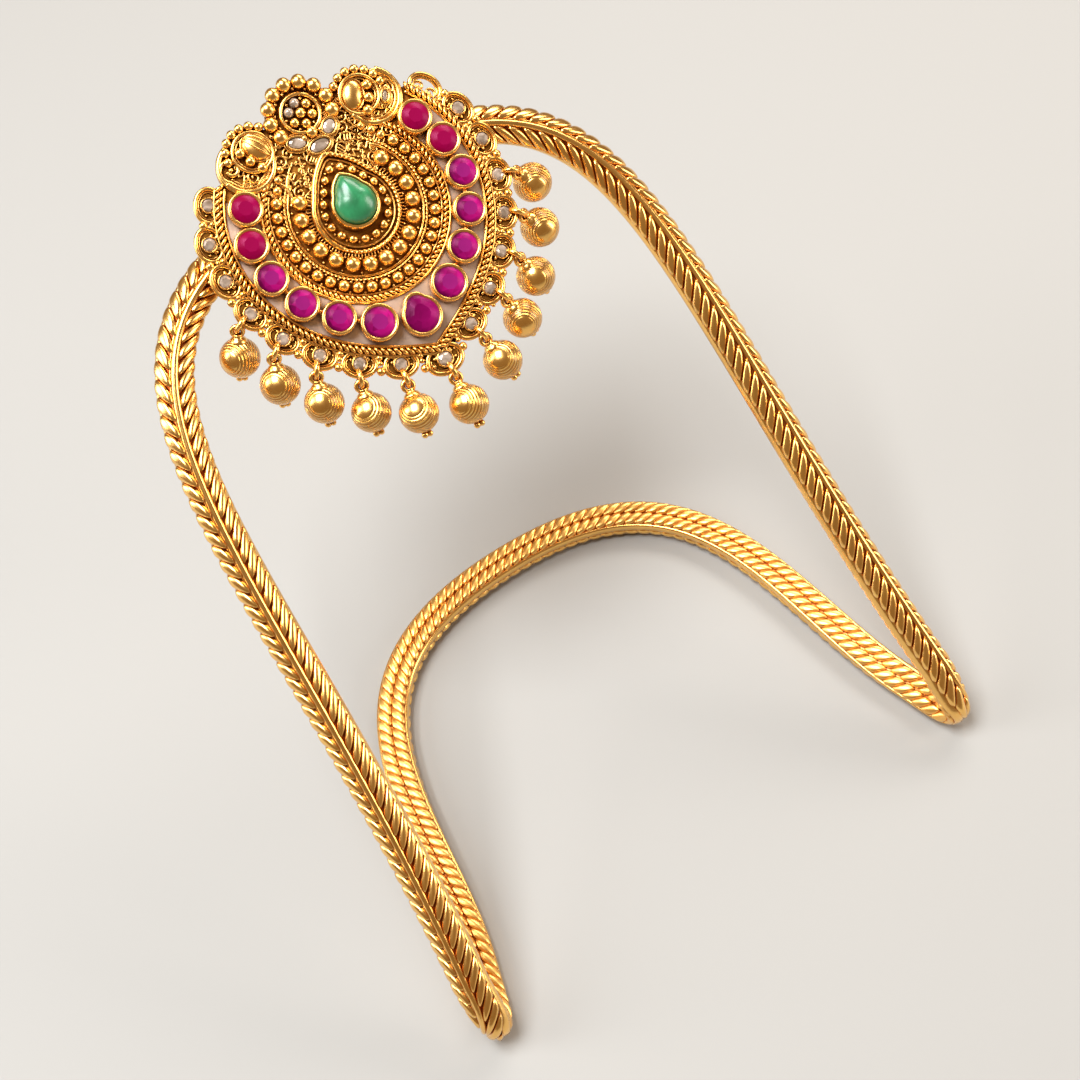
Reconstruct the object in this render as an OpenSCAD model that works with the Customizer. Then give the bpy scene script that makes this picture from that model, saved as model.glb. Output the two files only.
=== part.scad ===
// Bajuband armlet: a braided gold loop with a jewelled front medallion and eleven ball drops.
// It lies on its back arch, tips toward -Y, and the front arch leans back over it.
// Every size is in millimetres, and z = 0 is the surface that it rests on.

/* [Loop] */
// distance between the two side tips, along the band's centre line
loop_w = 90; // [80:1:100]
// length of the front arch, from the tips to its top, along its slope
front_len = 125.7; // [110:0.1:140]
// length of the back arch, from the tips to its top
back_len = 73.7; // [60:0.1:90]
// angle of the front arch above the surface
lean = 42; // [32:1:50]
// how far the top of the front arch bends down out of its plane
bow = 10; // [0:0.5:14]
// distance from each tip over which the two arches run into each other
tip_reach = 13; // [10:0.5:16]

/* [Band] */
// width of the band across its braid
band_w = 5.8; // [4.5:0.1:7]
// thickness of the band, ridge wire included
band_t = 4.4; // [3.5:0.1:5.5]
// stations along one front leg, one tip and one back leg
band_steps = 32; // [26:1:44]

/* [Medallion] */
// slope of the medallion above the surface
plate_lean = 36; // [28:1:44]
// how much farther the outer rope runs at the bottom cusp
cusp_h = 3.8; // [2:0.1:5]
// diameter of the outer twisted rope
rope_d = 1.2; // [0.9:0.05:1.4]
// radius of the circle that the round rubies stand on, which sets the medallion's size
ruby_ring_r = 16.4; // [15:0.1:18]
// width of the ruby channel, between the centre lines of its two ropes
channel_w = 6.4; // [6:0.1:7]
// thickness of the back plate
plate_t = 0.9; // [0.7:0.1:1.4]
// clearance between the band's ridge and the back plate
saddle_gap = 0.25; // [0.1:0.05:0.5]

/* [Stones] */
// diameter of a round ruby
ruby_d = 3.9; // [3.5:0.1:4.2]
// diameter of the two larger rubies beside the pear ruby
ruby_big_d = 4.4; // [4:0.1:4.8]
// outer diameter of a ruby's bezel beyond the stone
bezel_extra = 1.2; // [0.9:0.1:1.4]
// width of the pear emerald
emerald_w = 6; // [5:0.1:7]
// length of the pear emerald
emerald_l = 7.5; // [6.5:0.1:8.5]
// clearance between a stone and its setting
stone_gap = 0.1; // [0.05:0.05:0.2]

/* [Scroll border] */
// number of scrolls round the rim, the cusp scroll included
scroll_n = 17; // [13:2:21]
// length of a scroll along the rim
scroll_l = 5.6; // [4.6:0.1:5.8]
// width of a scroll across the rim
scroll_w = 4.4; // [3.6:0.1:5]
// diameter of the scroll wire
scroll_wire = 0.7; // [0.6:0.05:0.9]
// diameter of a small pale stone
pale_d = 1.6; // [1.3:0.1:1.8]

/* [Crest] */
// height of the flower's centre above the hub
flower_y = 15.6; // [15:0.1:17]
// outer diameter of the flower's rim wire
flower_d = 6.2; // [5.5:0.1:7]
// sideways distance of each side roundel from the middle
roundel_x = 8.9; // [8:0.1:10]
// height of each side roundel above the hub
roundel_y = 14; // [13:0.1:15]
// outer diameter of a roundel's rim wire
roundel_d = 6.5; // [5.5:0.1:7]

/* [Drops] */
// diameter of a drop's ball
ball_d = 6; // [5:0.1:7]
// wire diameter of a jump ring
jump_wire = 0.45; // [0.4:0.05:0.7]
// wire diameter of a drop's eye
eye_wire = 0.45; // [0.4:0.05:0.7]
// clearance where a ring runs through another
link_gap = 0.12; // [0.05:0.01:0.2]
// how far a jump ring turns along its scroll toward the way that its drop hangs
ring_turn = 13; // [0:1:30]
// greatest dip of a drop's eye round its jump ring, below the plane of the medallion
ring_dip = 25; // [10:1:32]

/* [Hidden] */
drop_n = 11;
half_drops = (drop_n - 1) / 2;
scroll_half = (scroll_n - 1) / 2;
scroll_step = 15 * 16 / (scroll_n - 1);
round_rubies = ["ruby_r1", "ruby_r2", "ruby_r3", "ruby_r4", "ruby_r5", "ruby_r6",
                "ruby_l1", "ruby_l2", "ruby_l3", "ruby_l4", "ruby_l5", "ruby_l6"];
jump_names = ["jump_ring_1", "jump_ring_2", "jump_ring_3", "jump_ring_4", "jump_ring_5", "jump_ring_6",
              "jump_ring_7", "jump_ring_8", "jump_ring_9", "jump_ring_10", "jump_ring_11"];
drop_names = ["drop_1", "drop_2", "drop_3", "drop_4", "drop_5", "drop_6",
              "drop_7", "drop_8", "drop_9", "drop_10", "drop_11"];

gold = "#d9a441";
deep_gold = "#c98f2c";
ruby_red = "#b3124f";
emerald_green = "#2f9a63";
pale_pink = "#cdb5ab";
beige = "#b59a8c";

// The half loop is three curves: front leg, tip and back leg, all with the tips on the X axis.
// The front leg swings out round the medallion and its drops, so it takes its width from the rope.
tip_x = loop_w / 2;
rope_r = ruby_ring_r + channel_w / 2;
inner_rope_r = ruby_ring_r - channel_w / 2;
front_top_x = 2.732 * rope_r;
front_waist = [1.814 * rope_r, 0.745 * front_len];
back_shoulder = [0.77, 0.496];
back_top = 0.98;
tip_out = 0.99;
tip_in = 0.94;
tip_turn = 0.25;
front_steps = band_steps;
tip_steps = 8;
back_steps = round(band_steps * 0.55);
// y that brings the middle of the whole piece onto the origin
mid_y = 56.43;

function on_front(x, l, drop) =
    [x, l * cos(lean) + drop * sin(lean), l * sin(lean) - drop * cos(lean)];
function on_back(x, l) = [x, l, 0];
function curve(p, t) =
    pow(1 - t, 3) * p[0] + 3 * t * pow(1 - t, 2) * p[1] + 3 * t * t * (1 - t) * p[2] + pow(t, 3) * p[3];
front_leg = [on_front(0, front_len, bow),
             on_front(front_top_x, front_len, bow),
             on_front(front_waist[0], front_waist[1], bow / 2),
             on_front(tip_out * tip_x, tip_reach, 0)];
tip_bend = [on_front(tip_out * tip_x, tip_reach, 0),
            on_front(tip_x, tip_turn * tip_reach, 0),
            on_back(tip_x, tip_turn * tip_reach),
            on_back(tip_in * tip_x, tip_reach)];
back_leg = [on_back(tip_in * tip_x, tip_reach),
            on_back(back_shoulder[0] * tip_x, back_shoulder[1] * back_len),
            on_back(back_top * tip_x, back_len),
            on_back(0, back_len)];
half_route = concat([for (i = [0 : front_steps - 1]) curve(front_leg, i / front_steps)],
                    [for (i = [0 : tip_steps - 1]) curve(tip_bend, i / tip_steps)],
                    [for (i = [0 : back_steps]) curve(back_leg, i / back_steps)]);
// The band turns its ridge from the front, over the outer side at the tip, to the floor at the back.
leg_cant = 28;
function ease(t) = t * t * (3 - 2 * t);
half_turn = concat([for (i = [0 : front_steps - 1]) leg_cant * pow(i / front_steps, 2)],
                   [for (i = [0 : tip_steps - 1]) leg_cant + (180 - 2 * leg_cant) * ease(i / tip_steps)],
                   [for (i = [0 : back_steps]) 180 - leg_cant * pow(1 - min(1, 2 * i / back_steps), 2)]);
half_n = len(half_route);
function mirror_x(p) = [-p[0], p[1], p[2]];
route = concat(half_route, [for (i = [half_n - 2 : -1 : 1]) mirror_x(half_route[i])]);
route_n = len(route);
function unit(v) = v / norm(v);
function facing(turn) = turn < 90
    ? [sin(turn), -cos(turn) * sin(lean), cos(turn) * cos(lean)]
    : [sin(turn), 0, cos(turn)];
faces_out = concat([for (t = half_turn) facing(t)],
                   [for (i = [half_n - 2 : -1 : 1]) mirror_x(facing(half_turn[i]))]);
function along(i) = unit(route[(i + 1) % route_n] - route[(i + route_n - 1) % route_n]);
function out(i) = unit(faces_out[i] - (faces_out[i] * along(i)) * along(i));
function across(i) = cross(along(i), out(i));

// Cross-section of the band as shares of its width and thickness: ridge wire, leaf flanks, rounded
// rims and the two strands with a groove between them on the inner face.
band_half = [[0.07, 0.5], [0.1, 0.4], [0.3, 0.3], [0.49, 0.03], [0.42, -0.38], [0.24, -0.5]];
band_outline = concat([for (p = band_half) [p[0] * band_w, p[1] * band_t]],
                      [[0, -0.36 * band_t]],
                      [for (i = [len(band_half) - 1 : -1 : 0]) [-band_half[i][0] * band_w, band_half[i][1] * band_t]]);
function low_side(i) = min([for (q = band_outline) q[0] * across(i)[2] + q[1] * out(i)[2]]);
function station(i) = [route[i][0], route[i][1] - mid_y, max(route[i][2] + band_t / 2, -low_side(i))];

module closed_sweep(rings) {
    n = len(rings);
    m = len(rings[0]);
    polyhedron(points = [for (r = rings) each r],
               faces = [for (i = [0 : n - 1], j = [0 : m - 1])
                        let (a = i * m + j, b = i * m + (j + 1) % m,
                             c = ((i + 1) % n) * m + (j + 1) % m, d = ((i + 1) % n) * m + j)
                        each [[a, c, b], [a, d, c]]]);
}

module band() {
    color(gold)
        closed_sweep([for (i = [0 : route_n - 1])
                      [for (q = band_outline) station(i) + q[0] * across(i) + q[1] * out(i)]]);
}

// The medallion's own frame: x to the side, y up its slope, z out of its face, origin at its hub.
hub_below_top = 6;
hub = [0,
       front_len * cos(lean) + bow * sin(lean) - hub_below_top * cos(plate_lean) - mid_y,
       front_len * sin(lean) - bow * cos(lean) - hub_below_top * sin(plate_lean) + band_t / 2];
plate_lift = band_t / 2 + saddle_gap;
module on_medallion() {
    translate(hub)
        rotate([plate_lean, 0, 0])
            translate([0, 0, plate_lift])
                children();
}
// Angles on the medallion are counted from straight down, positive toward +X.
function spot(a, r) = [r * sin(a), -r * cos(a)];
cusp_spread = 22;
function rim(a) = rope_r + cusp_h * exp(-abs(a) / cusp_spread);
channel_floor = plate_t;
sheet_t = 0.35;
sheet_gap = 0.05;
cup_z = channel_floor + sheet_t + 2 * sheet_gap;
cup_h = 1.9;
rope_z = channel_floor + 0.44;

// A round wire along flat points, with the stated number of sides.
module wire(points, d, sides, closed = false) {
    n = len(points);
    function way(i) = closed
        ? unit(points[(i + 1) % n] - points[(i + n - 1) % n])
        : unit(points[min(i + 1, n - 1)] - points[max(i - 1, 0)]);
    rings = [for (i = [0 : n - 1])
             let (w = way(i))
             [for (k = [0 : sides - 1])
              let (t = 360 * (k + 0.5) / sides)
              [points[i][0] - w[1] * cos(t) * d / 2, points[i][1] + w[0] * cos(t) * d / 2, sin(t) * d / 2]]];
    if (closed)
        closed_sweep(rings);
    else
        polyhedron(points = [for (r = rings) each r],
                   faces = concat([[for (k = [0 : sides - 1]) k]],
                                  [[for (k = [sides - 1 : -1 : 0]) (n - 1) * sides + k]],
                                  [for (i = [0 : n - 2], k = [0 : sides - 1])
                                   let (a = i * sides + k, b = i * sides + (k + 1) % sides)
                                   each [[a, b + sides, b], [a, a + sides, b + sides]]]));
}
function arc(c, r, from, to, steps) =
    [for (i = [0 : steps]) let (t = from + (to - from) * i / steps) c + r * [cos(t), sin(t)]];
function loop(c, r, steps) = [for (i = [0 : steps - 1]) c + r * [cos(360 * i / steps), sin(360 * i / steps)]];

// A grain of metal soldered on at height z, as the dome that stands out of the solder.
module grain(p, d, z, sides) {
    translate([p[0], p[1], z])
        hull() {
            cylinder(d1 = d, d2 = 0.9 * d, h = 0.42 * d, $fn = sides);
            translate([0, 0, 0.74 * d]) cylinder(d = 0.4 * d, h = 0.01, $fn = sides / 2);
        }
}

// A pear outline with its round end down: a circle drawn out to a point at the top.
module pear(w, l) {
    translate([0, w / 2 - l / 2])
        hull() {
            circle(d = w, $fn = 18);
            translate([0, l - w / 2 - 0.1]) circle(r = 0.1, $fn = 4);
        }
}

// Round rubies from the lowest upward: place on the circle, radius of that place and stone diameter.
ruby_places = [[20.5, ruby_ring_r + 0.6, ruby_big_d], [40.5, ruby_ring_r, ruby_d], [60, ruby_ring_r, ruby_d],
               [79.5, ruby_ring_r, ruby_d], [98.5, ruby_ring_r - 0.1, ruby_d], [117, ruby_ring_r - 0.5, ruby_d]];
pear_ruby = [0, -ruby_ring_r - 1.4];
pear_ruby_w = 4.9;
pear_ruby_l = 5.5;
cup_sides = 10;

module cup(place) {
    p = spot(place[0], place[1]);
    outer = place[2] + bezel_extra;
    translate([p[0], p[1], 0]) {
        difference() {
            union() {
                translate([0, 0, channel_floor - 0.1]) cylinder(d = outer - 1.3, h = 1, $fn = 6);
                translate([0, 0, cup_z]) cylinder(d = outer, h = cup_h, $fn = cup_sides);
            }
            translate([0, 0, cup_z + 0.5])
                cylinder(d = (place[2] + 2 * stone_gap) / cos(180 / cup_sides), h = cup_h, $fn = cup_sides);
        }
    }
}

module pear_cup() {
    translate([pear_ruby[0], pear_ruby[1], 0])
        difference() {
            union() {
                translate([0, 0, channel_floor - 0.1])
                    linear_extrude(1) pear(pear_ruby_w - 0.2, pear_ruby_l - 0.2);
                translate([0, 0, cup_z])
                    linear_extrude(cup_h) offset(delta = bezel_extra / 2) pear(pear_ruby_w, pear_ruby_l);
            }
            translate([0, 0, cup_z + 0.5])
                linear_extrude(cup_h) offset(delta = stone_gap) pear(pear_ruby_w, pear_ruby_l);
        }
}

// Centre of scroll k, counted from the cusp, and the radius of the border there.
function scroll_r(a) = rim(a) + 2.1 - 0.4 * exp(-abs(a) / 25) - (abs(a) > 112 ? 0.7 : 0);
function scroll_spot(k) = spot(k * scroll_step, scroll_r(k * scroll_step));
// A granule fills the gap between two neighbouring scrolls and laps into both.
scroll_pitch = PI * (rope_r + 2.1) * scroll_step / 180;
granule_lap = 1.52;
granule_d = scroll_pitch - scroll_l + granule_lap;
scroll_z = 0.75;
scroll_points = 13;
curl_points = 4;
// a four-sided wire of this many times the diameter is a ribbon as wide as the round wire
ribbon = 1.3;
scroll_start = -8;
scroll_end = 426;

// One wire curls out from under the small stone's collet and runs round as an oval, open at the rope.
module scroll(k) {
    a = k * scroll_step;
    c = scroll_spot(k);
    side = k < 0 ? -1 : 1;
    translate([c[0], c[1], scroll_z])
        rotate(a) {
            wire([for (i = [0 : scroll_points])
                  let (t = scroll_start + (scroll_end - scroll_start) * i / scroll_points,
                       grow = min(1, i / curl_points))
                  [side * grow * (scroll_l - scroll_wire) / 2 * cos(t), grow * (scroll_w - scroll_wire) / 2 * sin(t)]],
                 scroll_wire * ribbon, 4);
            translate([0, 0, -0.35]) cylinder(d = pale_d + 0.15, h = 0.75, $fn = 6);
        }
}

// Flat outline of the back plate: the rope's own line, and a round lobe under each crest piece.
module plate_outline() {
    polygon([for (a = [-128 : 8 : 128]) spot(a, rim(a) - rope_d * 0.25)]);
    hull() {
        translate([0, flower_y]) circle(d = flower_d + 4, $fn = 20);
        translate([0, flower_y - 6]) circle(d = flower_d + 4, $fn = 20);
    }
    for (s = [-1, 1])
        hull() {
            translate([s * roundel_x, roundel_y]) circle(d = roundel_d + 1.2, $fn = 18);
            translate([s * (roundel_x + 2), roundel_y - 1.3]) circle(d = roundel_d + 1.8, $fn = 18);
        }
}

module flower() {
    translate([0, flower_y, 0]) {
        translate([0, 0, plate_t + 0.5])
            wire(loop([0, 0], (flower_d - 0.6) / 2, 12), 0.7, 5, true);
        translate([0, 0, plate_t - 0.1]) rotate(15) cylinder(d = flower_d - 0.9, h = 0.5, $fn = 12);
        grain([0, 0], 1.9, plate_t + 0.3, 6);
        for (a = [72 : 27 : 288])
            grain(spot(a, 4.5), 2.1, plate_t - 0.1, 8);
        grain(spot(0, 3.8), 1.6, plate_t - 0.1, 8);
    }
}

// A side roundel: rim wire, half dome, three grains in a column, a row of grains and an outer crescent.
module roundel(s) {
    translate([s * roundel_x, roundel_y, 0]) {
        translate([0, 0, plate_t + 0.45])
            wire(loop([0, 0], (roundel_d - 0.6) / 2, 12), 0.65, 5, true);
        translate([-s * 0.7, 0.7, plate_t - 0.1])
            hull() {
                rotate(s * -30) scale([0.75, 1, 0.7]) sphere(r = 2, $fn = 7);
                cylinder(r = 1.2, h = 0.1, $fn = 4);
            }
        grain([s * 1.9, 0.8], 1.35, plate_t - 0.1, 6);
        grain([s * 1.0, -1.0], 1.35, plate_t - 0.1, 6);
        grain([s * 0.1, -2.7], 1.35, plate_t - 0.1, 6);
        for (i = [0 : 6])
            grain([s * 3.75 * cos(8 + 21 * i), 3.75 * sin(8 + 21 * i)], 1.3, plate_t - 0.1, 6);
        translate([0, 0, plate_t + 0.3])
            wire([for (p = arc([1.9, -1.1], 4, -160, 70, 8)) [s * p[0], p[1]]], 1.2, 4);
    }
}

// Places of the oval pale stones of the crest, with the length, width and turn of each.
crest_places = [[[-2.9, 12.2], 2.3, 1.4, 25], [[2.9, 12.2], 2.3, 1.4, -25], [[0, 10.3], 2.3, 1.2, 0]];
crest_rim = 0.35;
crest_cup_h = 1;

module crest_cup(c) {
    translate([c[0][0], c[0][1], plate_t - 0.1])
        rotate(c[3])
            difference() {
                scale([1, (c[2] + 2 * crest_rim) / (c[1] + 2 * crest_rim), 1])
                    cylinder(d = c[1] + 2 * crest_rim, h = crest_cup_h, $fn = 12);
                translate([0, 0, 0.4])
                    scale([1, (c[2] + 2 * stone_gap) / (c[1] + 2 * stone_gap), 1])
                        cylinder(d = c[1] + 2 * stone_gap, h = crest_cup_h, $fn = 12);
            }
}

big_grain_d = 2.3;
big_grain_r = inner_rope_r - 4.95;
mid_grain_d = 1.72;
mid_grain_r = inner_rope_r - 1.7;
emerald_y = 1.2;
emerald_z = plate_t + 1.1;
emerald_rim = 0.5;

// Fifteen large grains and twenty-five middle ones, each in an arc that is open at the crest.
module grain_rings() {
    for (i = [-7 : 7])
        grain(spot(17.6 * i, big_grain_r), big_grain_d, plate_t - 0.1, 8);
    for (i = [-12 : 12])
        grain(spot(10.1 * i, mid_grain_r), mid_grain_d, plate_t - 0.1, 8);
}

module emerald_cup() {
    translate([0, emerald_y, plate_t - 0.1])
        difference() {
            linear_extrude(2.4) offset(delta = emerald_rim + stone_gap) pear(emerald_w, emerald_l);
            translate([0, 0, emerald_z - plate_t + 0.1 - stone_gap])
                linear_extrude(3) offset(delta = stone_gap) pear(emerald_w, emerald_l);
        }
}

// Pear-shaped border wire round the emerald's ring of grains.
border_r = 6.05;
border_tip = 9.2;
module pear_border() {
    translate([0, 0, plate_t + 0.3])
        wire(concat(arc([0, 0.9], border_r, 160, 380, 16), [[3.6, 5.9], [0, border_tip], [-3.6, 5.9]]), 0.8, 5, true);
}

module medallion() {
    color(deep_gold)
        on_medallion() {
            linear_extrude(plate_t) plate_outline();
            translate([0, 0, rope_z])
                wire([for (a = [-126 : 7 : 126]) spot(a, rim(a))], rope_d, 5);
            translate([0, 0, rope_z])
                wire([for (a = [-121.5 : 9 : 121.5]) spot(a, inner_rope_r)], rope_d, 5);
            for (p = ruby_places, s = [-1, 1])
                cup([s * p[0], p[1], p[2]]);
            pear_cup();
            emerald_cup();
            pear_border();
            grain_rings();
            for (k = [-scroll_half : scroll_half])
                scroll(k);
            for (k = [-scroll_half : scroll_half - 1])
                let (a = (k + 0.5) * scroll_step)
                grain(spot(a, scroll_r(a) + 0.95), granule_d, scroll_z - 0.45, 6);
            flower();
            for (s = [-1, 1])
                roundel(s);
            for (c = crest_places)
                crest_cup(c);
        }
}

// The matt sheet that lines the ruby channel, holed for the foot of each ruby's cup.
module channel_sheet() {
    inner = inner_rope_r + rope_d / 2 + stone_gap;
    color(beige)
        on_medallion()
            translate([0, 0, channel_floor + sheet_gap])
                linear_extrude(sheet_t)
                    difference() {
                        polygon(concat([for (a = [-121 : 5.5 : 121]) spot(a, rim(a) - rope_d / 2 - stone_gap)],
                                       [for (a = [121 : -5.5 : -121]) spot(a, inner)]));
                        for (p = ruby_places, s = [-1, 1])
                            translate(spot(s * p[0], p[1]))
                                circle(d = p[2] + bezel_extra - 1.3 + 2 * stone_gap, $fn = 32);
                        translate(pear_ruby)
                            offset(delta = stone_gap) pear(pear_ruby_w - 0.2, pear_ruby_l - 0.2);
                    }
}

// A round cut stone: culet, girdle, eight crown facets and a flat table.
crown_h = 0.75;
pavilion_h = 1.15;
girdle_h = 0.15;
module cut_stone(d) {
    hull() {
        translate([0, 0, -pavilion_h]) cylinder(d = d * 0.1, h = 0.01, $fn = 4);
        cylinder(d = d, h = girdle_h, $fn = 16);
        translate([0, 0, girdle_h + crown_h * 0.55]) rotate(22.5) cylinder(d = d * 0.84, h = 0.01, $fn = 8);
        translate([0, 0, girdle_h + crown_h]) cylinder(d = d * 0.58, h = 0.01, $fn = 8);
    }
}

stone_z = cup_z + 0.5 + pavilion_h + stone_gap / 2;
module ruby(i) {
    p = ruby_places[i % 6];
    s = i < 6 ? 1 : -1;
    q = spot(s * p[0], p[1]);
    color(ruby_red)
        on_medallion()
            translate([q[0], q[1], stone_z])
                cut_stone(p[2]);
}

module ruby_pear() {
    color(ruby_red)
        on_medallion()
            translate([pear_ruby[0], pear_ruby[1], stone_z])
                hull() {
                    translate([0, 0, -pavilion_h]) linear_extrude(0.02) pear(pear_ruby_w * 0.4, pear_ruby_l * 0.4);
                    linear_extrude(girdle_h) pear(pear_ruby_w, pear_ruby_l);
                    translate([0, 0, crown_h * 0.6]) linear_extrude(0.02) pear(pear_ruby_w * 0.84, pear_ruby_l * 0.84);
                    translate([0, 0, crown_h]) linear_extrude(0.02) pear(pear_ruby_w * 0.6, pear_ruby_l * 0.6);
                }
}

// The emerald is a smooth pear dome on a flat base: slices of its outline get smaller up the dome.
emerald_h = 2.9;
module emerald() {
    color(emerald_green)
        on_medallion()
            translate([0, emerald_y, emerald_z])
                hull() {
                    linear_extrude(1.1) pear(emerald_w, emerald_l);
                    for (t = [24 : 24 : 72])
                        translate([0, 0, 1.1 + (emerald_h - 1.1) * sin(t)])
                            linear_extrude(0.01) pear(emerald_w * cos(t), emerald_l * cos(t));
                }
}

// The small pale stones: flat rose cuts, one on each scroll's collet but for the topmost on the right.
module scroll_stones() {
    color(pale_pink)
        on_medallion()
            for (k = [-scroll_half : scroll_half - 1])
                let (c = scroll_spot(k))
                translate([c[0], c[1], scroll_z + 0.4 + sheet_gap])
                    rotate(k * scroll_step)
                        hull() {
                            cylinder(d = pale_d, h = 0.25, $fn = 8);
                            cylinder(d = pale_d * 0.55, h = 0.6, $fn = 4);
                        }
}

module crest_stones() {
    color(pale_pink)
        on_medallion()
            for (c = crest_places)
                translate([c[0][0], c[0][1], plate_t + 0.3 + sheet_gap])
                    rotate(c[3])
                        scale([1, c[2] / c[1], 1])
                            hull() {
                                cylinder(d = c[1], h = 0.45, $fn = 16);
                                cylinder(d = c[1] * 0.7, h = 0.6, $fn = 8);
                            }
}

// Each drop hangs from the outer wire of a scroll: jump ring, eye, cap, ball and finial in one line.
// The ring's hole takes the scroll's square wire, the sag of its straight pieces and the drop's eye.
scroll_wire_half = scroll_wire * ribbon * sin(45) / 2;
chord_sag = 0.13;
jump_hole = scroll_wire_half + (chord_sag + eye_wire + 3 * link_gap) / 2;
jump_r = jump_hole + jump_wire / 2;
eye_r = (jump_wire + eye_wire) / 2 + link_gap + 0.15;
jump_far = jump_hole - link_gap - eye_wire / 2;
eye_far = jump_far + eye_r;
cap_far = eye_far + eye_r;
ball_far = cap_far + 0.6 + ball_d / 2;

// Way that each drop hangs, counted like the angles on the medallion, and its dip below that plane.
hang_angles = [-24, -15, -11, -8, -8, -2, 15, 22, 25, 41, 48];
dips = [36, 35, 29, 22, 8, 8, 22, 34, 35, 41, 44];

// Moves to the jump ring of drop i and turns -Y to the far side of the ring, where the drop hangs.
module at_drop(i) {
    k = i - half_drops;
    a = k * scroll_step;
    c = scroll_spot(k);
    edge = (scroll_w - scroll_wire) / 2 - chord_sag - scroll_wire_half - link_gap + jump_hole;
    turn = max(-ring_turn, min(ring_turn, hang_angles[i] - a));
    on_medallion()
        translate([c[0], c[1], scroll_z])
            rotate(a)
                translate([0, -edge, 0])
                    rotate(turn)
                        rotate([min(dips[i], ring_dip), 0, 0])
                            children();
}

// Moves a drop from its jump ring's far side to the rest of its swing and dip.
module at_hang(i) {
    a = (i - half_drops) * scroll_step;
    turn = max(-ring_turn, min(ring_turn, hang_angles[i] - a));
    at_drop(i)
        translate([0, -jump_r, 0])
            rotate([-min(dips[i], ring_dip), 0, 0])
                rotate(hang_angles[i] - a - turn)
                    rotate([dips[i], 0, 0])
                        translate([0, jump_r, 0])
                            children();
}

module jump_ring(i) {
    color(gold)
        at_drop(i)
            rotate([0, 90, 0])
                rotate_extrude($fn = 32) translate([jump_r, 0]) circle(d = jump_wire, $fn = 16);
}

module drop(i) {
    color(gold)
        at_hang(i) {
            translate([0, -eye_far, 0])
                rotate_extrude($fn = 32) translate([eye_r, 0]) circle(d = eye_wire, $fn = 16);
            translate([0, -cap_far + 0.1, 0])
                rotate([90, 0, 0])
                    cylinder(d1 = 1.1, d2 = 3.4, h = 1.2, $fn = 32);
            translate([0, -ball_far, 0])
                sphere(d = ball_d, $fn = 32);
            translate([0, -ball_far - ball_d / 2 - 0.2, 0])
                sphere(d = 1.1, $fn = 24);
        }
}

band();
medallion();
channel_sheet();
emerald();
ruby_pear();
scroll_stones();
crest_stones();
for (i = [0 : len(round_rubies) - 1])
    ruby(i);
for (i = [0 : drop_n - 1])
    jump_ring(i);
for (i = [0 : drop_n - 1])
    drop(i);
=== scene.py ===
# %% [markdown]
# A bajuband armlet: one gold band, braided like a wheat ear, bent into a front and a back arch, with a
# jewelled medallion at the top of the front arch and eleven hollow balls on its rim. Goldsmiths make
# such a medallion from flat sheet, drawn wire, tiny melted grains and stones in collars, all soldered
# to a back plate. Here every one of these is modelled the same way, in millimetres, on its own bench.

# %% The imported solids, and the units
from math import acos, cos, exp, pi, radians, sin, sqrt

import bmesh
import bpy
import numpy as np
from mathutils import Matrix, Vector


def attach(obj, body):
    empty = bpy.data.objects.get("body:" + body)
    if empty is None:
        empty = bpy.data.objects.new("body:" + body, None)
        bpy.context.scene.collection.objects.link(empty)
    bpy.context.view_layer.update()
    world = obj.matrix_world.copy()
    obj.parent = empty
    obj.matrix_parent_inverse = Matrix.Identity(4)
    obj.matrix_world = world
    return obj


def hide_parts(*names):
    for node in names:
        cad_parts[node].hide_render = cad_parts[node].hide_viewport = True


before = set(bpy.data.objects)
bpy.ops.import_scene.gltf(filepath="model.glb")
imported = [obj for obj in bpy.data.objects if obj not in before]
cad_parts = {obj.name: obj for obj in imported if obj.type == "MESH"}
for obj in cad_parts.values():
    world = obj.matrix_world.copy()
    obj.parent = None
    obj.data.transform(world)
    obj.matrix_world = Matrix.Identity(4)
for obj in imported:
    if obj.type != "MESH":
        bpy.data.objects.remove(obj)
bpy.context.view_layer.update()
MM = 0.001
TURN = 2 * pi
rng = np.random.default_rng(7)

# %% [markdown]
# The band's course is drawn before anything lies on it. It is the same curve as in the solids: a front
# leg that leans back, a tight bend at the side tip and a back leg on the table. Each is a Bezier curve
# of four handles, and the other half mirrors it. The cross-section holds the ridge wire in the middle,
# a flank and a rim on each side, and the strands of the inner face.

# %% Handles and cross-section of the band
loop_w, front_len, back_len = 90, 125.7, 73.7
lean, bow, tip_reach = radians(42), 10, 13
band_w, band_t = 5.8, 4.4
leg_cant = radians(28)
mid_y = 56.43  # from the side tips to the middle of the whole armlet
tip_x = loop_w / 2
rope_r, cusp_h, cusp_spread = 19.6, 3.8, 22


def on_front(x, length, drop):
    return Vector((x, length * cos(lean) + drop * sin(lean), length * sin(lean) - drop * cos(lean)))


def on_back(x, length):
    return Vector((x, length, 0))


front_leg = [on_front(0, front_len, bow), on_front(2.732 * rope_r, front_len, bow),
             on_front(1.814 * rope_r, 0.745 * front_len, bow / 2), on_front(0.99 * tip_x, tip_reach, 0)]
tip_bend = [front_leg[3], on_front(tip_x, tip_reach / 4, 0), on_back(tip_x, tip_reach / 4),
            on_back(0.94 * tip_x, tip_reach)]
back_leg = [tip_bend[3], on_back(0.77 * tip_x, 0.496 * back_len), on_back(0.98 * tip_x, back_len),
            on_back(0, back_len)]
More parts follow.
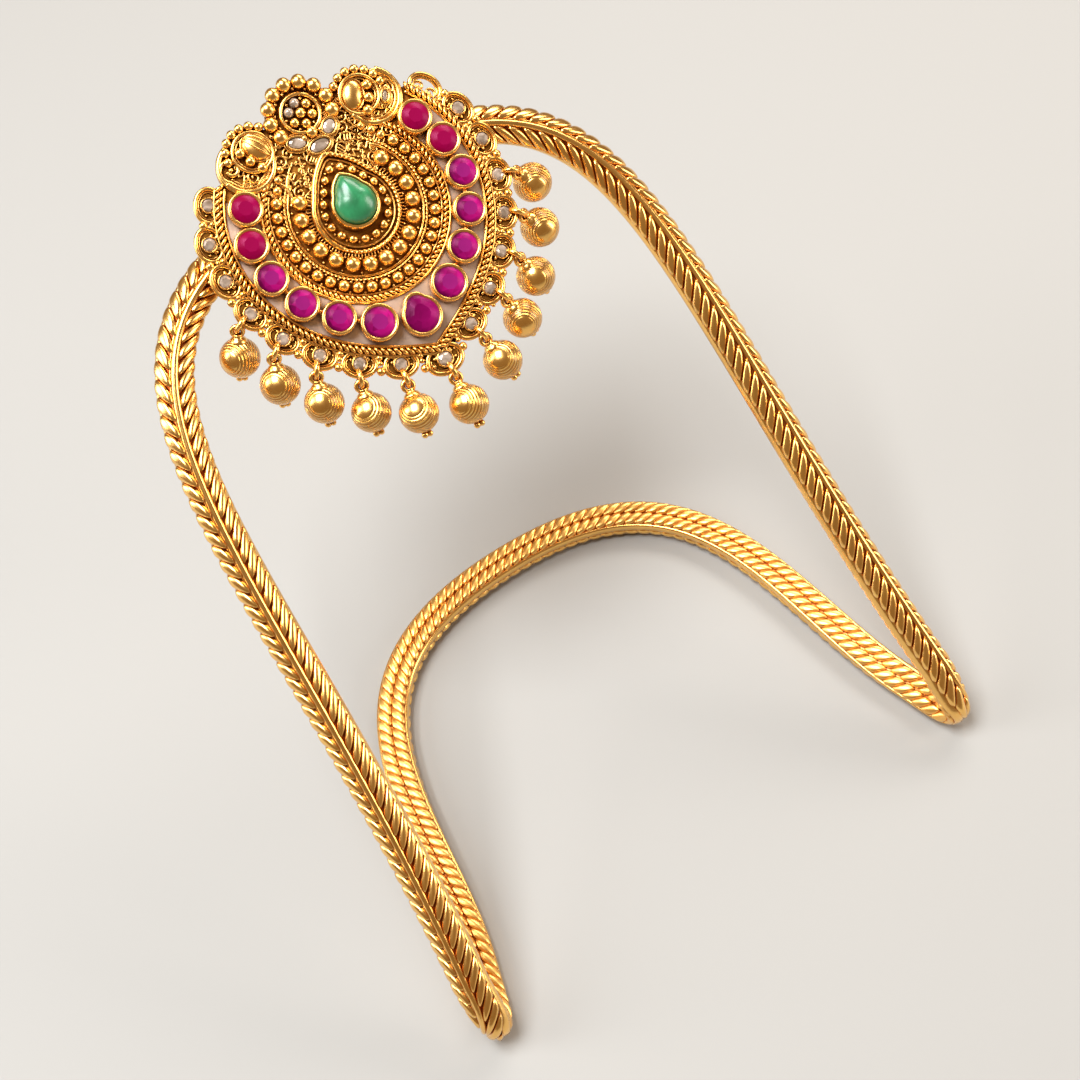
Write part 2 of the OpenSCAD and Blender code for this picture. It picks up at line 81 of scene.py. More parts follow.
# sideways and outward, as shares of the band's width and thickness
half_section = [(0.07, 0.5), (0.1, 0.4), (0.3, 0.3), (0.49, 0.03), (0.42, -0.38), (0.24, -0.5)]
section = [(x * band_w, z * band_t) for x, z in half_section]
section += [(0, -0.36 * band_t)]
section += [(-x, z) for x, z in reversed(section[:-1])]
print("corners of the cross-section:", len(section))

# %% [markdown]
# Wires, ropes and leaves all follow a course. Its points are spaced evenly by walking its length,
# because leaves that are stamped at an even pitch must not crowd together in the bends.

# %% Even steps along a course


def walked(points):
    """The length so far at each point of a course."""
    return np.concatenate([[0], np.cumsum(np.linalg.norm(np.diff(points, axis=0), axis=1))])


def between(s, gone, rows):
    """What the rows come to at the length s, or at each of many lengths."""
    return np.array([np.interp(s, gone, column) for column in rows.T]).T


def even_steps(rows, steps):
    """The same course in steps of one length. A row's first three numbers are its place."""
    gone = walked(rows[:, :3])
    return between(np.linspace(0, gone[-1], steps + 1), gone, rows)


class Track:
    """Evenly spaced points with a sideways and an upward direction at each, and the length so far."""

    def __init__(self, points, side, up, closed):
        self.points, self.side, self.up, self.closed = points, side, up, closed
        self.length = walked(points)
        self.total = self.length[-1]

    def frames(self, s):
        """Places, sideways and upward directions at one length or at many."""
        s = s % self.total if self.closed else np.clip(s, 0, self.total)
        return [between(s, self.length, rows) for rows in (self.points, self.side, self.up)]

    def at(self, s):
        """Place, direction, sideways and up at the length s from the start."""
        place, side, up = [Vector(row) for row in self.frames(s)]
        up.normalize()
        side = (side - side.dot(up) * up).normalized()
        return place, up.cross(side), side, up

# %% [markdown]
# Every point of the band needs its own upward direction, the way its ridge faces. It points to the front
# on the front leg and turns over in the bend, until the ridge lies against the table on the back leg.

# %% Track of the band


def curve(handles, t):
    a, b, c, d = handles
    return (1 - t) ** 3 * a + 3 * t * (1 - t) ** 2 * b + 3 * t * t * (1 - t) * c + t ** 3 * d


def cant(part, t):
    """How far the ridge has turned from facing front (0) to facing the table (180 degrees)."""
    if part == 0:
        return leg_cant * t * t
    if part == 1:
        return leg_cant + (pi - 2 * leg_cant) * t * t * (3 - 2 * t)
    return pi - leg_cant * (1 - min(1, 2 * t)) ** 2


def faces(turn):
    if turn < pi / 2:
        return Vector((sin(turn), -cos(turn) * sin(lean), cos(turn) * cos(lean)))
    return Vector((sin(turn), 0, cos(turn)))


def band_track(steps, leg_steps=400, nudge=1e-3):
    half = []
    for part, handles in enumerate((front_leg, tip_bend, back_leg)):
        for i in range(leg_steps):
            t = (i + 0.5) / leg_steps
            way = curve(handles, min(t + nudge, 1)) - curve(handles, max(t - nudge, 0))
            half.append((curve(handles, t), faces(cant(part, t)), way))
    flip = Matrix.Diagonal((-1, 1, 1))
    rows = []
    for place, facing, way in half + [(flip @ p, flip @ f, -(flip @ d)) for p, f, d in reversed(half)]:
        way.normalize()
        up = (facing - facing.dot(way) * way).normalized()
        side = way.cross(up)
        low = min(x * side.z + z * up.z for x, z in section)
        rows.append([place.x, place.y - mid_y, max(place.z + band_t / 2, -low), *side, *up])
    even = even_steps(np.array(rows + rows[:1]), steps)
    even[-1] = even[0]
    return Track(even[:, :3], even[:, 3:6], even[:, 6:], closed=True)


band = band_track(1100)
print("band length:", round(band.total, 1), "mm")

# %% [markdown]
# Round wire is a flat sheet rolled up: a grid with one edge for each step along the wire and one for
# each side round it, laid along the course and merged at the seam. A twisted wire is the same sheet
# with two lobes that wind round as it goes. Where a wire ends, the open end is filled.

# %% Rolling wire and strip along a course


def roll(bm, steps, sides, corner, closed=False):
    """Rolls a sheet of steps by sides faces: corner(i, k) is the place of step i and side k."""
    sheet = bmesh.ops.create_grid(bm, x_segments=steps, y_segments=sides, size=1)["verts"]
    for vert in sheet:
        i = round((vert.co.x + 1) / 2 * steps)
        k = round((vert.co.y + 1) / 2 * sides)
        vert.co = corner(i % steps if closed else i, k % sides)
    bmesh.ops.remove_doubles(bm, verts=sheet, dist=1e-4)
    ends = {e for v in sheet if v.is_valid for e in v.link_edges if e.is_boundary}
    if ends:
        bmesh.ops.holes_fill(bm, edges=list(ends), sides=0)


def wire(bm, track, d, sides=8, flat=1, shift=(0, 0), lobe=0, deep=0.3):
    """A wire of diameter d, or d(i) at step i. With a lobe length it is two strands, twisted."""

    def corner(i, k):
        angle = TURN * k / sides
        r = (d(i) if callable(d) else d) / 2
        if lobe:
            r *= 1 - deep * sin(angle - pi * track.length[i] / lobe) ** 2
        x = shift[0] + r * cos(angle)
        z = shift[1] + r * sin(angle) * flat
        return Vector(track.points[i] + track.side[i] * x + track.up[i] * z)

    roll(bm, len(track.points) - 1, sides, corner, track.closed)


def flat_track(points, closed=False, z=0, step=None):
    """A course in the medallion's plane, resampled to even steps."""
    pts = np.array([(p[0], p[1], z + (p[2] if len(p) > 2 else 0)) for p in points], float)
    if closed:
        pts = np.vstack([pts, pts[:1]])
    if step:
        pts = even_steps(pts, max(3, round(walked(pts)[-1] / step)))
    if closed:
        way = np.roll(pts[:-1], -1, axis=0) - np.roll(pts[:-1], 1, axis=0)
        way = np.vstack([way, way[:1]])
    else:
        way = np.gradient(pts, axis=0)
    way /= np.linalg.norm(way, axis=1)[:, None]
    side = np.cross(way, np.tile([0.0, 0.0, 1.0], (len(pts), 1)))
    side /= np.linalg.norm(side, axis=1)[:, None]
    return Track(pts, side, np.cross(side, way), closed)


def lay(bm, points, d, sides=8, flat=1, closed=False, z=0, step=None, **twist):
    """A wire laid flat on the medallion's bench."""
    wire(bm, flat_track(points, closed, z, step), d, sides, flat, **twist)

# %% [markdown]
# Small parts that come again and again, such as grains and leaves, are made once and stamped. A stamp
# is a finished little mesh, and a matrix says where each copy goes and how it is turned and scaled.

# %% Stamps


def moved(x, y, z=0):
    return Matrix.Translation((x, y, z))


def turned(angle, axis="Z"):
    return Matrix.Rotation(angle, 4, axis)


def sized(x, y, z):
    return Matrix.Diagonal((x, y, z, 1))


def as_mesh(bm, name="stamp"):
    mesh = bpy.data.meshes.new(name)
    bm.to_mesh(mesh)
    bm.free()
    return mesh


def stamp(bm, mesh, matrix):
    copy = mesh.copy()
    copy.transform(matrix)
    bm.from_mesh(copy)
    bpy.data.meshes.remove(copy)


def grain_stamp(rounds):
    bm = bmesh.new()
    bmesh.ops.create_icosphere(bm, subdivisions=rounds, radius=0.5)
    return as_mesh(bm)


big_bead, bead, grain = grain_stamp(4), grain_stamp(3), grain_stamp(2)
print("triangles of a grain, three finenesses:", [len(m.polygons) for m in (big_bead, bead, grain)])


def put(bm, mesh, place, z, d):
    """Stamps a grain of diameter d at a place (x, y) and the height z."""
    stamp(bm, mesh, moved(*place, z) @ sized(d, d, d))

# %% [markdown]
# The medallion has a bench of its own: x to the side, y up its slope and z out of its face, with the
# origin at its hub. One matrix lays everything that is made there on the front arch. A function that
# puts a piece's parts on a bench has a line above it with the piece's name and finish. That line runs
# it, turns the piece into metres, gives it its normals and its material, hangs it on the root body and
# hides the solids it stands for.

# %% The medallion's bench, and finishing a piece
plate_lean = radians(36)
hub_below_top = 6
saddle_gap = 0.25
hub = (on_front(0, front_len, bow) - hub_below_top * Vector((0, cos(plate_lean), sin(plate_lean)))
       + Vector((0, -mid_y, band_t / 2)))
on_medallion = moved(*hub) @ turned(plate_lean, "X") @ moved(0, 0, band_t / 2 + saddle_gap)
no_move = Matrix.Identity(4)


def show(name, data):
    shown = bpy.data.objects.new(name, data)
    bpy.context.scene.collection.objects.link(shown)
    return shown


def bench_piece(name, look, bench=on_medallion, stands_for=(), crease=None):
    """Makes a piece at once, of all that the function below this line puts into the mesh bm."""

    def make(fill):
        bm = bmesh.new()
        fill(bm)
        bmesh.ops.transform(bm, matrix=sized(MM, MM, MM) @ bench, verts=bm.verts)
        bmesh.ops.recalc_face_normals(bm, faces=bm.faces)
        mesh = as_mesh(bm, name)
        mesh.shade_smooth()
        if crease:
            mesh.set_sharp_from_angle(angle=radians(crease))
        piece = show(name, mesh)
        mesh.materials.append(look)
        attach(piece, "root")
        if stands_for:
            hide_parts(*stands_for)
        print(name, "triangles:", sum(len(p.vertices) - 2 for p in mesh.polygons))
        return fill

    return make

# %% [markdown]
# A finish is a web of nodes round one shader. The same few kinds of node come in every finish, so each
# kind gets a short helper: a new finish with its constant values, a node whose inputs are values or
# other nodes' outputs, a noise in the piece's own space, a range, a sum, a blend and a bump.

# %% Helpers for finishes


def plug(made, inputs):
    """Gives each input of a node its value, or links it to another node's output."""
    for key, value in inputs.items():
        if isinstance(value, bpy.types.NodeSocket):
            made.id_data.links.new(value, made.inputs[key])
        else:
            made.inputs[key].default_value = value


def node(tree, kind, inputs=None, **settings):
    made = tree.nodes.new("ShaderNode" + kind)
    for key, value in settings.items():
        setattr(made, key, value)
    plug(made, inputs or {})
    return made


def noise(tree, scale, detail, distortion=0):
    place = node(tree, "TexCoord").outputs["Object"]
    return node(tree, "TexNoise", {"Vector": place, "Scale": scale, "Detail": detail,
                                   "Distortion": distortion}).outputs["Fac"]


def ranged(tree, value, low, high, to_low=0, to_high=1, **settings):
    return node(tree, "MapRange", {"Value": value, "From Min": low, "From Max": high, "To Min": to_low,
                                   "To Max": to_high}, **settings).outputs["Result"]


def maths(tree, operation, a, b=0, **settings):
    return node(tree, "Math", {0: a, 1: b}, operation=operation, **settings).outputs[0]


def blend(tree, share, a, b):
    return node(tree, "Mix", {0: share, 6: a, 7: b}, data_type="RGBA").outputs[2]


def bumped(tree, height, strength, deep, inputs=None, **settings):
    return node(tree, "Bump", {"Height": height, "Strength": strength, "Distance": deep, **(inputs or {})},
                **settings).outputs["Normal"]


def openness(tree, reach):
    """How open the surface is to the room, from 0 in a deep crevice to 1 on a bare hill."""
    return node(tree, "AmbientOcclusion", {"Distance": reach}, samples=8).outputs["AO"]


def painted(tree, name):
    """The red, green and blue shares of an attribute that was painted on the faces."""
    colour = node(tree, "Attribute", attribute_name=name).outputs["Color"]
    return node(tree, "SeparateColor", {0: colour}).outputs


def new_finish(name, values):
    made = bpy.data.materials.new(name)
    made.use_nodes = True
    shader = made.node_tree.nodes["Principled BSDF"]
    plug(shader, values)
    return made, made.node_tree, shader

# %% [markdown]
# Gold plate looks rich because it is two colours at once: bright yellow where fingers polish it and a
# burnt orange brown painted into the crevices between wires and grains as shade. A shader group works
# this out from the shape itself: ambient occlusion finds the crevices for that painted shade, a noise
# breaks the colour up and another one gives the small dents of handwork. Each gold finish sets its own
# values on the same group.

# %% Shader group for handworked gold


def gold_group():
    group = bpy.data.node_groups.new("handworked gold with painted shade", "ShaderNodeTree")
    sockets = (("INPUT", "Color", "Gold", "Crevice"),
               ("INPUT", "Float", "Crevice reach", "Crevice start", "Crevice end", "Polish", "Dulled",
                "Dent size"),
               ("OUTPUT", "Color", "Color"),
               ("OUTPUT", "Float", "Roughness", "Height"))
    for way, kind, *names in sockets:
        for name in names:
            group.interface.new_socket(name, in_out=way, socket_type="NodeSocket" + kind)
    into = group.nodes.new("NodeGroupInput").outputs
    # painted shade: ambient occlusion picks the crevices, and the Crevice colour is blended in there
    open_share = ranged(group, openness(group, into["Crevice reach"]), into["Crevice start"],
                        into["Crevice end"], interpolation_type="SMOOTHSTEP")
    tone = ranged(group, noise(group, 240, 3), 0.3, 0.7, 0.86, 1.06)
    bright = node(group, "VectorMath", {0: into["Gold"], 1: tone}, operation="MULTIPLY").outputs[0]
    scuff = ranged(group, noise(group, 1500, 4), 0, 1, -0.05, 0.07)
    polish = maths(group, "ADD", into["Polish"], scuff)
    rough = node(group, "Mix", {0: open_share, 2: into["Dulled"], 3: polish}).outputs[0]
    plug(group.nodes.new("NodeGroupOutput"),
         {"Color": blend(group, open_share, into["Crevice"], bright), "Roughness": rough,
          "Height": noise(group, into["Dent size"], 2)})
    return group


handworked = gold_group()
print("group sockets:", [s.name for s in handworked.interface.items_tree])

# %% [markdown]
# Seven gold finishes use the group. The band, the beads and the balls are polished the brightest, the
# band's inner face is worn by the arm and has lighter painted shade, the soldered wirework has darker
# painted shade in its crevices, and the plates behind it are painted darker still, nearly all shade.
# Such plate is lacquered, and that thin clear coat is what makes its brightest spots cream instead of
# yellow.

# %% Gold finishes


def gold(name, colour, crevice, polish, dulled, reach, span, dent_size, dent, coat=0.6):
    made, tree, shader = new_finish(name, {"Metallic": 1, "Coat Weight": coat, "Coat Roughness": 0.28})
    group = node(tree, "Group", {"Gold": (*colour, 1), "Crevice": (*crevice, 1), "Crevice reach": reach,
                                 "Crevice start": span[0], "Crevice end": span[1], "Polish": polish,
                                 "Dulled": dulled, "Dent size": dent_size}, node_tree=handworked).outputs
    plug(shader, {"Base Color": group["Color"], "Roughness": group["Roughness"],
                  "Normal": bumped(tree, group["Height"], dent, 0.0001)})
    return made


# the second colour of each finish is the painted shade in its crevices
band_gold = gold("polished band gold", (1.0, 0.58, 0.15), (0.46, 0.12, 0.009), 0.22, 0.4, 0.0009,
                 (0.25, 0.8), 700, 0.2)
strand_gold = gold("worn strand gold", (1.0, 0.57, 0.15), (0.6, 0.2, 0.025), 0.34, 0.45, 0.0007,
                   (0.2, 0.75), 700, 0.15)
work_gold = gold("wirework gold", (1.0, 0.54, 0.12), (0.32, 0.08, 0.006), 0.23, 0.45, 0.0008,
                 (0.2, 0.8), 1500, 0.2)
bead_gold = gold("bead gold", (1.0, 0.58, 0.15), (0.36, 0.085, 0.006), 0.25, 0.42, 0.0006,
                 (0.15, 0.7), 900, 0.12)
# the back plate's gold is painted dark as shade, darker still in its crevices
floor_gold = gold("shaded plate gold", (0.6, 0.25, 0.04), (0.09, 0.022, 0.003), 0.4, 0.6, 0.0012,
                  (0.25, 0.95), 2400, 0.7, 0)
# the scroll floors are painted near black as the shade inside the openwork
shade_floor_gold = gold("painted shade floor gold", (0.32, 0.13, 0.02), (0.03, 0.008, 0.001), 0.5, 0.65, 0.0012,
                 (0.25, 0.95), 1800, 0.5, 0)
ball_gold = gold("ball gold", (1.0, 0.57, 0.14), (0.4, 0.1, 0.007), 0.23, 0.4, 0.0008,
                 (0.25, 0.8), 1000, 0.2)
print("gold finishes made")

# %% [markdown]
# The band is a core with everything else laid on it: two rows of leaves on the flanks, a ridge of one
# thick and one thin wire between them, a smooth wire along each rim, and two twisted strands side by
# side on the inner face. The core is a rolled strip a little smaller than the solid.

# %% Core, ridge and rims of the band
core_share = 0.84


@bench_piece("band_core", band_gold, bench=no_move, stands_for=["band"])
def band_core(bm):

    def corner(i, k):
        x, z = section[k]
        return Vector(band.points[i] + band.side[i] * x * core_share + band.up[i] * z * core_share)

    roll(bm, len(band.points) - 1, len(section), corner, closed=True)


@bench_piece("band_ridge_and_rims", band_gold, bench=no_move)
def band_wires(bm):
    ridge, hair, rims = (1.05, 10, 0.9), (0.34, 6, 1), (0.86, 12, 2.1)
    for size, place in ((ridge, (0.06, 1.9)), (hair, (-0.56, 1.72)), (rims, (-2.34, -0.66)),
                        (rims, (2.34, -0.66))):
        wire(bm, band, *size, shift=place)

# %% [markdown]
# A leaf runs slantwise from the ridge to the rim, and its two ends are cut along the band, so that the
# leaves of a row lie close together with only a thin dark line between. Each is a grid: it narrows to
# its ridge end, bows forward and stands up round. Its edge is drawn down into the core, so that every
# leaf is a closed shell. Each leaf is laid in the band's own lengths and cross-section, which bends it
# round the side tips as a goldsmith would: a stiff copy would stick out there.

# %% Leaves of the band
leaf_pitch = 2.4
flank_from, flank_to = Vector((0.42, 1.98)), Vector((2.78, 0.12))


def leaf(long, wide, tall, bow=0, taper=0):
    """The leaf's own frame: x from ridge to rim, y along the band, z out of the flank."""
    bm = bmesh.new()
    for vert in bmesh.ops.create_grid(bm, x_segments=11, y_segments=9, size=1)["verts"]:
        u, v = vert.co.x, vert.co.y
        half = wide / 2 * max(1 - abs(u) ** 6, 0.02) ** 0.4 * (1 - taper * max(-u, 0) ** 2)
        dome = max(1 - abs(v) ** 2.4, 0) ** 0.6 * (1 - 0.12 * v)
        rise = tall * dome * max(1 - abs(u) ** 8, 0) ** 0.5 + 0.3 * (1 - u * u)
        vert.co = (long / 2 * u, half * v + bow * (1 - u * u), rise)
    skirt = bmesh.ops.extrude_edge_only(bm, edges=[e for e in bm.edges if e.is_boundary])["geom"]
    low = [g for g in skirt if isinstance(g, bmesh.types.BMVert)]
    bmesh.ops.scale(bm, vec=(0.96, 0.94, 1), verts=low)
    bmesh.ops.translate(bm, vec=(0, 0, -0.7), verts=low)
    bmesh.ops.holes_fill(bm, edges=[e for e in bm.edges if e.is_boundary], sides=0)
    bmesh.ops.recalc_face_normals(bm, faces=bm.faces)
    return as_mesh(bm)


def lay_on_band(bm, mesh, s, slant, centre, down, hand):
    """Stamps a leaf at the length s so that it bends with the band: centre and down, the way from its
    ridge end to its rim end, lie in the cross-section, and hand is 1 or -1 for the side it faces."""
    copy = mesh.copy()
    flat = np.empty(len(copy.vertices) * 3)
    copy.vertices.foreach_get("co", flat)
    along, way, out = flat.reshape(-1, 3).T
    place, side, up = band.frames(s + along * cos(slant) + way)
    x = centre.x + down.x * along * sin(slant) - hand * down.y * out
    z = centre.y + down.y * along * sin(slant) + hand * down.x * out
    copy.vertices.foreach_set("co", (place + side * x[:, None] + up * z[:, None]).ravel())
    bm.from_mesh(copy)
    bpy.data.meshes.remove(copy)


@bench_piece("band_leaves", band_gold, bench=no_move, crease=60)
def band_leaves(bm):
    chord = flank_to - flank_from
    half_way = (flank_from + flank_to) / 2
    count = round(band.total / leaf_pitch)
    for row, slant, tall, bow, taper in ((1, 38, 0.5, 0.12, 0.35), (-1, 51, 0.42, 0.36, 0.4)):
        mesh = leaf(chord.length / sin(radians(slant)), 0.97 * leaf_pitch, tall, bow, taper)
        centre = Vector((row * half_way.x, half_way.y))
        down = Vector((row * chord.x, chord.y)).normalized()
        for i in range(count):
            lay_on_band(bm, mesh, (i + 0.5) * band.total / count, radians(slant), centre, down, row)

# %% [markdown]
# The inner face, which the back arch shows, looks like two twisted strands side by side with a dark
# groove between them. Each lobe of a strand is a plump slanting leaf, and both rows slant the same way.

# %% Twisted strands of the inner face
lobe_l, lobe_pitch, lobe_slant = 3.1, 1.9, radians(50)
strand_x, strand_z = 1.14, -1.72


@bench_piece("band_inner_strands", strand_gold, bench=no_move, crease=60)
def band_strands(bm):
    lobe = leaf(lobe_l, lobe_pitch, 0.3)
    count = round(band.total / lobe_pitch)
    for i in range(count):
        for x in (-strand_x, strand_x):
            lay_on_band(bm, lobe, (i + 0.5) * band.total / count, lobe_slant, Vector((x, strand_z)),
                        Vector((1, 0)), -1)

# %% [markdown]
# The back plate is cut from sheet to the outline of what it carries: the rope's heart shape below, and
# round lobes for the flower and the two roundels at the top. The outline is found by looking out from
# the hub in every direction for the farthest of these shapes. The plate is a disc whose edge is moved
# to that outline, and its gold is painted dark as shade, because only its edge and small windows of it
# are ever seen.

# %% Outline and plate
plate_t = 0.9
flower_y, flower_d = 15.6, 6.2
roundel_x, roundel_y, roundel_d = 8.9, 14, 6.5
# the heart shape ends at this angle, and beyond it the plate reaches at least this far
heart_end, least_r = 129, 14


def rim(a):
    return rope_r + cusp_h * exp(-abs(a) / cusp_spread)


def spot(a, r):
    """Place at the angle a from straight down, in degrees, and the radius r from the hub."""
    return r * sin(radians(a)), -r * cos(radians(a))


def reach_of_circle(a, centre, r):
    way = Vector(spot(a, 1))
    along = way.dot(Vector(centre))
    rest = r * r - (Vector(centre).length_squared - along * along)
    return along + sqrt(rest) if rest > 0 and along > 0 else 0


def plate_reach(a):
    a = (a + 180) % 360 - 180
    lobes = [((0, flower_y), flower_d / 2 + 2)]
    for s in (-1, 1):
        lobes += [((s * roundel_x, roundel_y), roundel_d / 2 + 0.6),
                  ((s * (roundel_x + 2), roundel_y - 1.3), roundel_d / 2 + 0.9)]
    low = rim(a) + 0.45 if abs(a) < heart_end else least_r
    return max([low] + [reach_of_circle(a, c, r) for c, r in lobes])


@bench_piece("medallion_back_plate", floor_gold, stands_for=["medallion"], crease=40)
def back_plate(bm, edge_steps=240, rim_w=0.25):
    disc = bmesh.ops.create_circle(bm, cap_ends=True, segments=edge_steps, radius=1)["verts"]
    for i, vert in enumerate(disc):
        a = 360 * i / edge_steps
        vert.co = (*spot(a, plate_reach(a)), plate_t)
    bmesh.ops.inset_region(bm, faces=bm.faces[:], thickness=rim_w, depth=0.0)
    down = bmesh.ops.extrude_face_region(bm, geom=bm.faces[:])["geom"]
    low = [g for g in down if isinstance(g, bmesh.types.BMVert)]
    bmesh.ops.translate(bm, vec=(0, 0, -plate_t), verts=low)

# %% [markdown]
# Two twisted ropes hem the ruby channel. A goldsmith twists two wires together, and what shows is a row
# of slanting lobes that overlap, so a rope is one long grain stamped again and again at a slant. The
# finer rope between the rows of beads is a rolled sheet with two winding lobes, and plain wires lie
# beside them all.

# %% Ropes and border wires
rope_slant = radians(40)
rope_end = 127  # degrees from straight down
inner_rope_r, thin_rope_r, thin_lobe = 13.2, 10.35, 0.6


def arc_points(r, half_turn, steps=200):
    """Points round the hub, from half_turn degrees on one side to as many on the other."""
    angles = [-half_turn + 2 * half_turn * i / steps for i in range(steps + 1)]
    return [spot(a, r(a) if callable(r) else r) for a in angles]


def rope(bm, track, d, lobe):
    """A rope of two strands: slanting lobes, one after the other, that overlap like twisted wire."""
    count = round(track.total / lobe)
    for i in range(count + 1):
        place, way, side, up = track.at(i * track.total / count)
        along = way * cos(rope_slant) + side * sin(rope_slant)
        turn = Matrix((along, up.cross(along), up)).transposed().to_4x4()
        stamp(bm, grain, moved(*place) @ turn @ sized(1.65 * d, 0.68 * lobe, 0.92 * d))


@bench_piece("rope_borders", work_gold)
def ropes(bm):
    for r, turn, d, lobe, z in ((rim, rope_end, 1.05, 0.95, 1.45), (inner_rope_r, 138, 0.86, 0.84, 1.38)):
        rope(bm, flat_track(arc_points(r, turn, 500), z=z, step=0.2), d, lobe)
    lay(bm, arc_points(thin_rope_r, 148, 500), 0.5, 10, z=1.3, step=thin_lobe / 8, lobe=thin_lobe, deep=0.5)
    for r, turn, d, z in ((lambda a: rim(a) - 0.74, rope_end, 0.42, 1.4),
                          (lambda a: rim(a) + 0.64, rope_end, 0.3, 1.2),
                          (13.78, 123, 0.4, 1.5), (12.6, 126, 0.36, 1.2),
                          (9.85, 138, 0.42, 1.22)):
        lay(bm, arc_points(r, turn), d, z=z, step=0.4)

# %% [markdown]
# The rows of beads are grains of gold, melted on charcoal until they draw up round, and soldered down.
# Fifteen large ones, twenty-five middle ones and eighteen small ones ring the emerald, with the tiniest
# grains between, and thin wires like spokes on the dark floor behind the largest.

# %% Rows of beads and spokes
big_r, big_d, big_pitch = 8.25, 2.3, 17.6
mid_r, mid_d, mid_pitch = 11.5, 1.72, 10.1
bead_rise = 0.42
spoke_pitch, spoke_d = 4.05, 0.24


@bench_piece("bead_rows", bead_gold)
def bead_rows(bm):
    # how far a row goes each side, in pitches; a row with a half in it lies between the beads
    for mesh, half, pitch, r, z, d in ((big_bead, 7, big_pitch, big_r, bead_rise * big_d, big_d),
                                       (bead, 12, mid_pitch, mid_r, bead_rise * mid_d, mid_d),
                                       (grain, 11.5, mid_pitch, mid_r - 0.75, 0.25, 0.42),
                                       (grain, 11.5, mid_pitch, mid_r + 0.72, 0.25, 0.42),
                                       (grain, 6.5, big_pitch, big_r + 1.05, 0.2, 0.45),
                                       (grain, 6.5, big_pitch, big_r - 0.95, 0.2, 0.36)):
        for i in np.arange(-half, half + 1):
            put(bm, mesh, spot(pitch * i, r), plate_t + z, d)
    for a, r, d in ((131, 11.5, 1.35), (138.5, 11.8, 1.25), (146, 12.1, 1.15)):
        for s in (-1, 1):
            put(bm, bead, spot(s * a, r), plate_t + bead_rise * d, d)


@bench_piece("spokes", work_gold)
def spokes(bm):
    for i in range(-31, 32):
        line = [(*spot(spoke_pitch * i, r), z) for r, z in ((6.3, 1.35), (7.0, 1.2), (7.7, 1.0))]
        lay(bm, line, spoke_d, 5)

# %% [markdown]
# The emerald is a smooth pear dome, a cabochon, in a plain collar that is rubbed over its edge. A pear
# outline is most of a circle with two gently bowed sides that meet in a soft point. The same outline, drawn
# wider, gives the collar, the row of small beads and the border round them.

# %% The pear outline, collar and border
emerald_w, emerald_l, emerald_y = 6.0, 7.5, 1.2
emerald_base = plate_t + 1.1


def pear(w, l, steps=72, point=0.12, swell=0.05, lift=0):
    """Closed pear outline, round end down, from its point round and back."""
    middle, tip = w / 2 - l / 2, l / 2 - point
    lean_in = acos(min(1, (w / 2 - point) / (tip - middle)))
    out = sin(lean_in), cos(lean_in)
    sides = []
    for i in range(steps):
        t = i / steps
        if 0.25 <= t <= 0.75:
            angle = lean_in + (TURN - 2 * lean_in) * (t - 0.25) / 0.5
            sides.append((w / 2 * sin(angle), middle + w / 2 * cos(angle)))
            continue
        share = (t if t < 0.25 else 1 - t) / 0.25
        start = Vector((point * out[0], tip + point * out[1]))
        end = Vector((w / 2 * out[0], middle + w / 2 * out[1]))
        place = start.lerp(end, share) + swell * w * sin(pi * share) * Vector(out)
        sides.append((place.x if t < 0.25 else -place.x, place.y))
    return [(x, y + lift) for x, y in sides]


def collar(bm, outline_at, profile, y):
    """Rolls a collar's profile of (outward, height) pairs round an outline at the height y of the bench."""
    rings = [[Vector((p[0], y + p[1], z)) for p in outline_at(out)] for out, z in profile]
    roll(bm, len(rings), len(rings[0]), lambda i, k: rings[i][k], closed=True)


@bench_piece("emerald_collar", bead_gold)
def emerald_setting(bm):
    profile = [(0.02, 2.0), (0.6, 0.8), (0.62, 2.6), (0.56, 3.0), (0.38, 3.22), (0.16, 3.2), (0.02, 3.0)]
    collar(bm, lambda out: pear(emerald_w + 2 * out, emerald_l + 2.2 * out), profile, emerald_y)


border_w, border_l, border_lift, border_point, border_swell = 12.5, 15.4, 1.35, 0.5, 0.035


@bench_piece("pear_border", work_gold)
def pear_border(bm):
    ring = pear(border_w, border_l, 200, border_point, border_swell, border_lift)
    # the left side is plain and the right one twisted, and they cross a little at the round end
    right_end, left_start = 126, 118
    lay(bm, ring[left_start:] + ring[:1], 0.86, 10, 1.1, z=1.5, step=0.35)
    lay(bm, ring[:right_end + 1], 0.72, 10, z=1.45, step=0.085, lobe=0.68, deep=0.32)
    lay(bm, pear(11.2, 13.8, 160, 0.4, border_swell, 1.3), 0.32, 6, closed=True, z=1.2, step=0.3)


@bench_piece("small_beads", bead_gold)
def small_beads(bm, count=18, spread=1.07):
    row = flat_track(pear(9.3, 11.4, 160, 0.4, 0.04, 1.22), closed=True, step=0.1)
    for i in range(count):
        place = row.at((i + 0.5) * row.total / count)[0]
        put(bm, bead, place.xy, plate_t + 0.62, 1.3)
        gap = row.at(i * row.total / count)[0]
        put(bm, grain, (gap.x * spread, (gap.y - 1) * spread + 1), plate_t + 0.25, 0.4)

# %% [markdown]
# Every round ruby sits in a collar: a short tube whose upper edge is pressed over the stone's rim, with
# a rounded lip and a bevel inside. A collar is one profile spun round its axis. It stands on the matt
# channel sheet and its lip is the brightest ring of the whole medallion.

# %% Ruby collars
ruby_ring_r, ruby_d, ruby_big_d = 16.4, 3.9, 4.4
bezel_half = 0.6
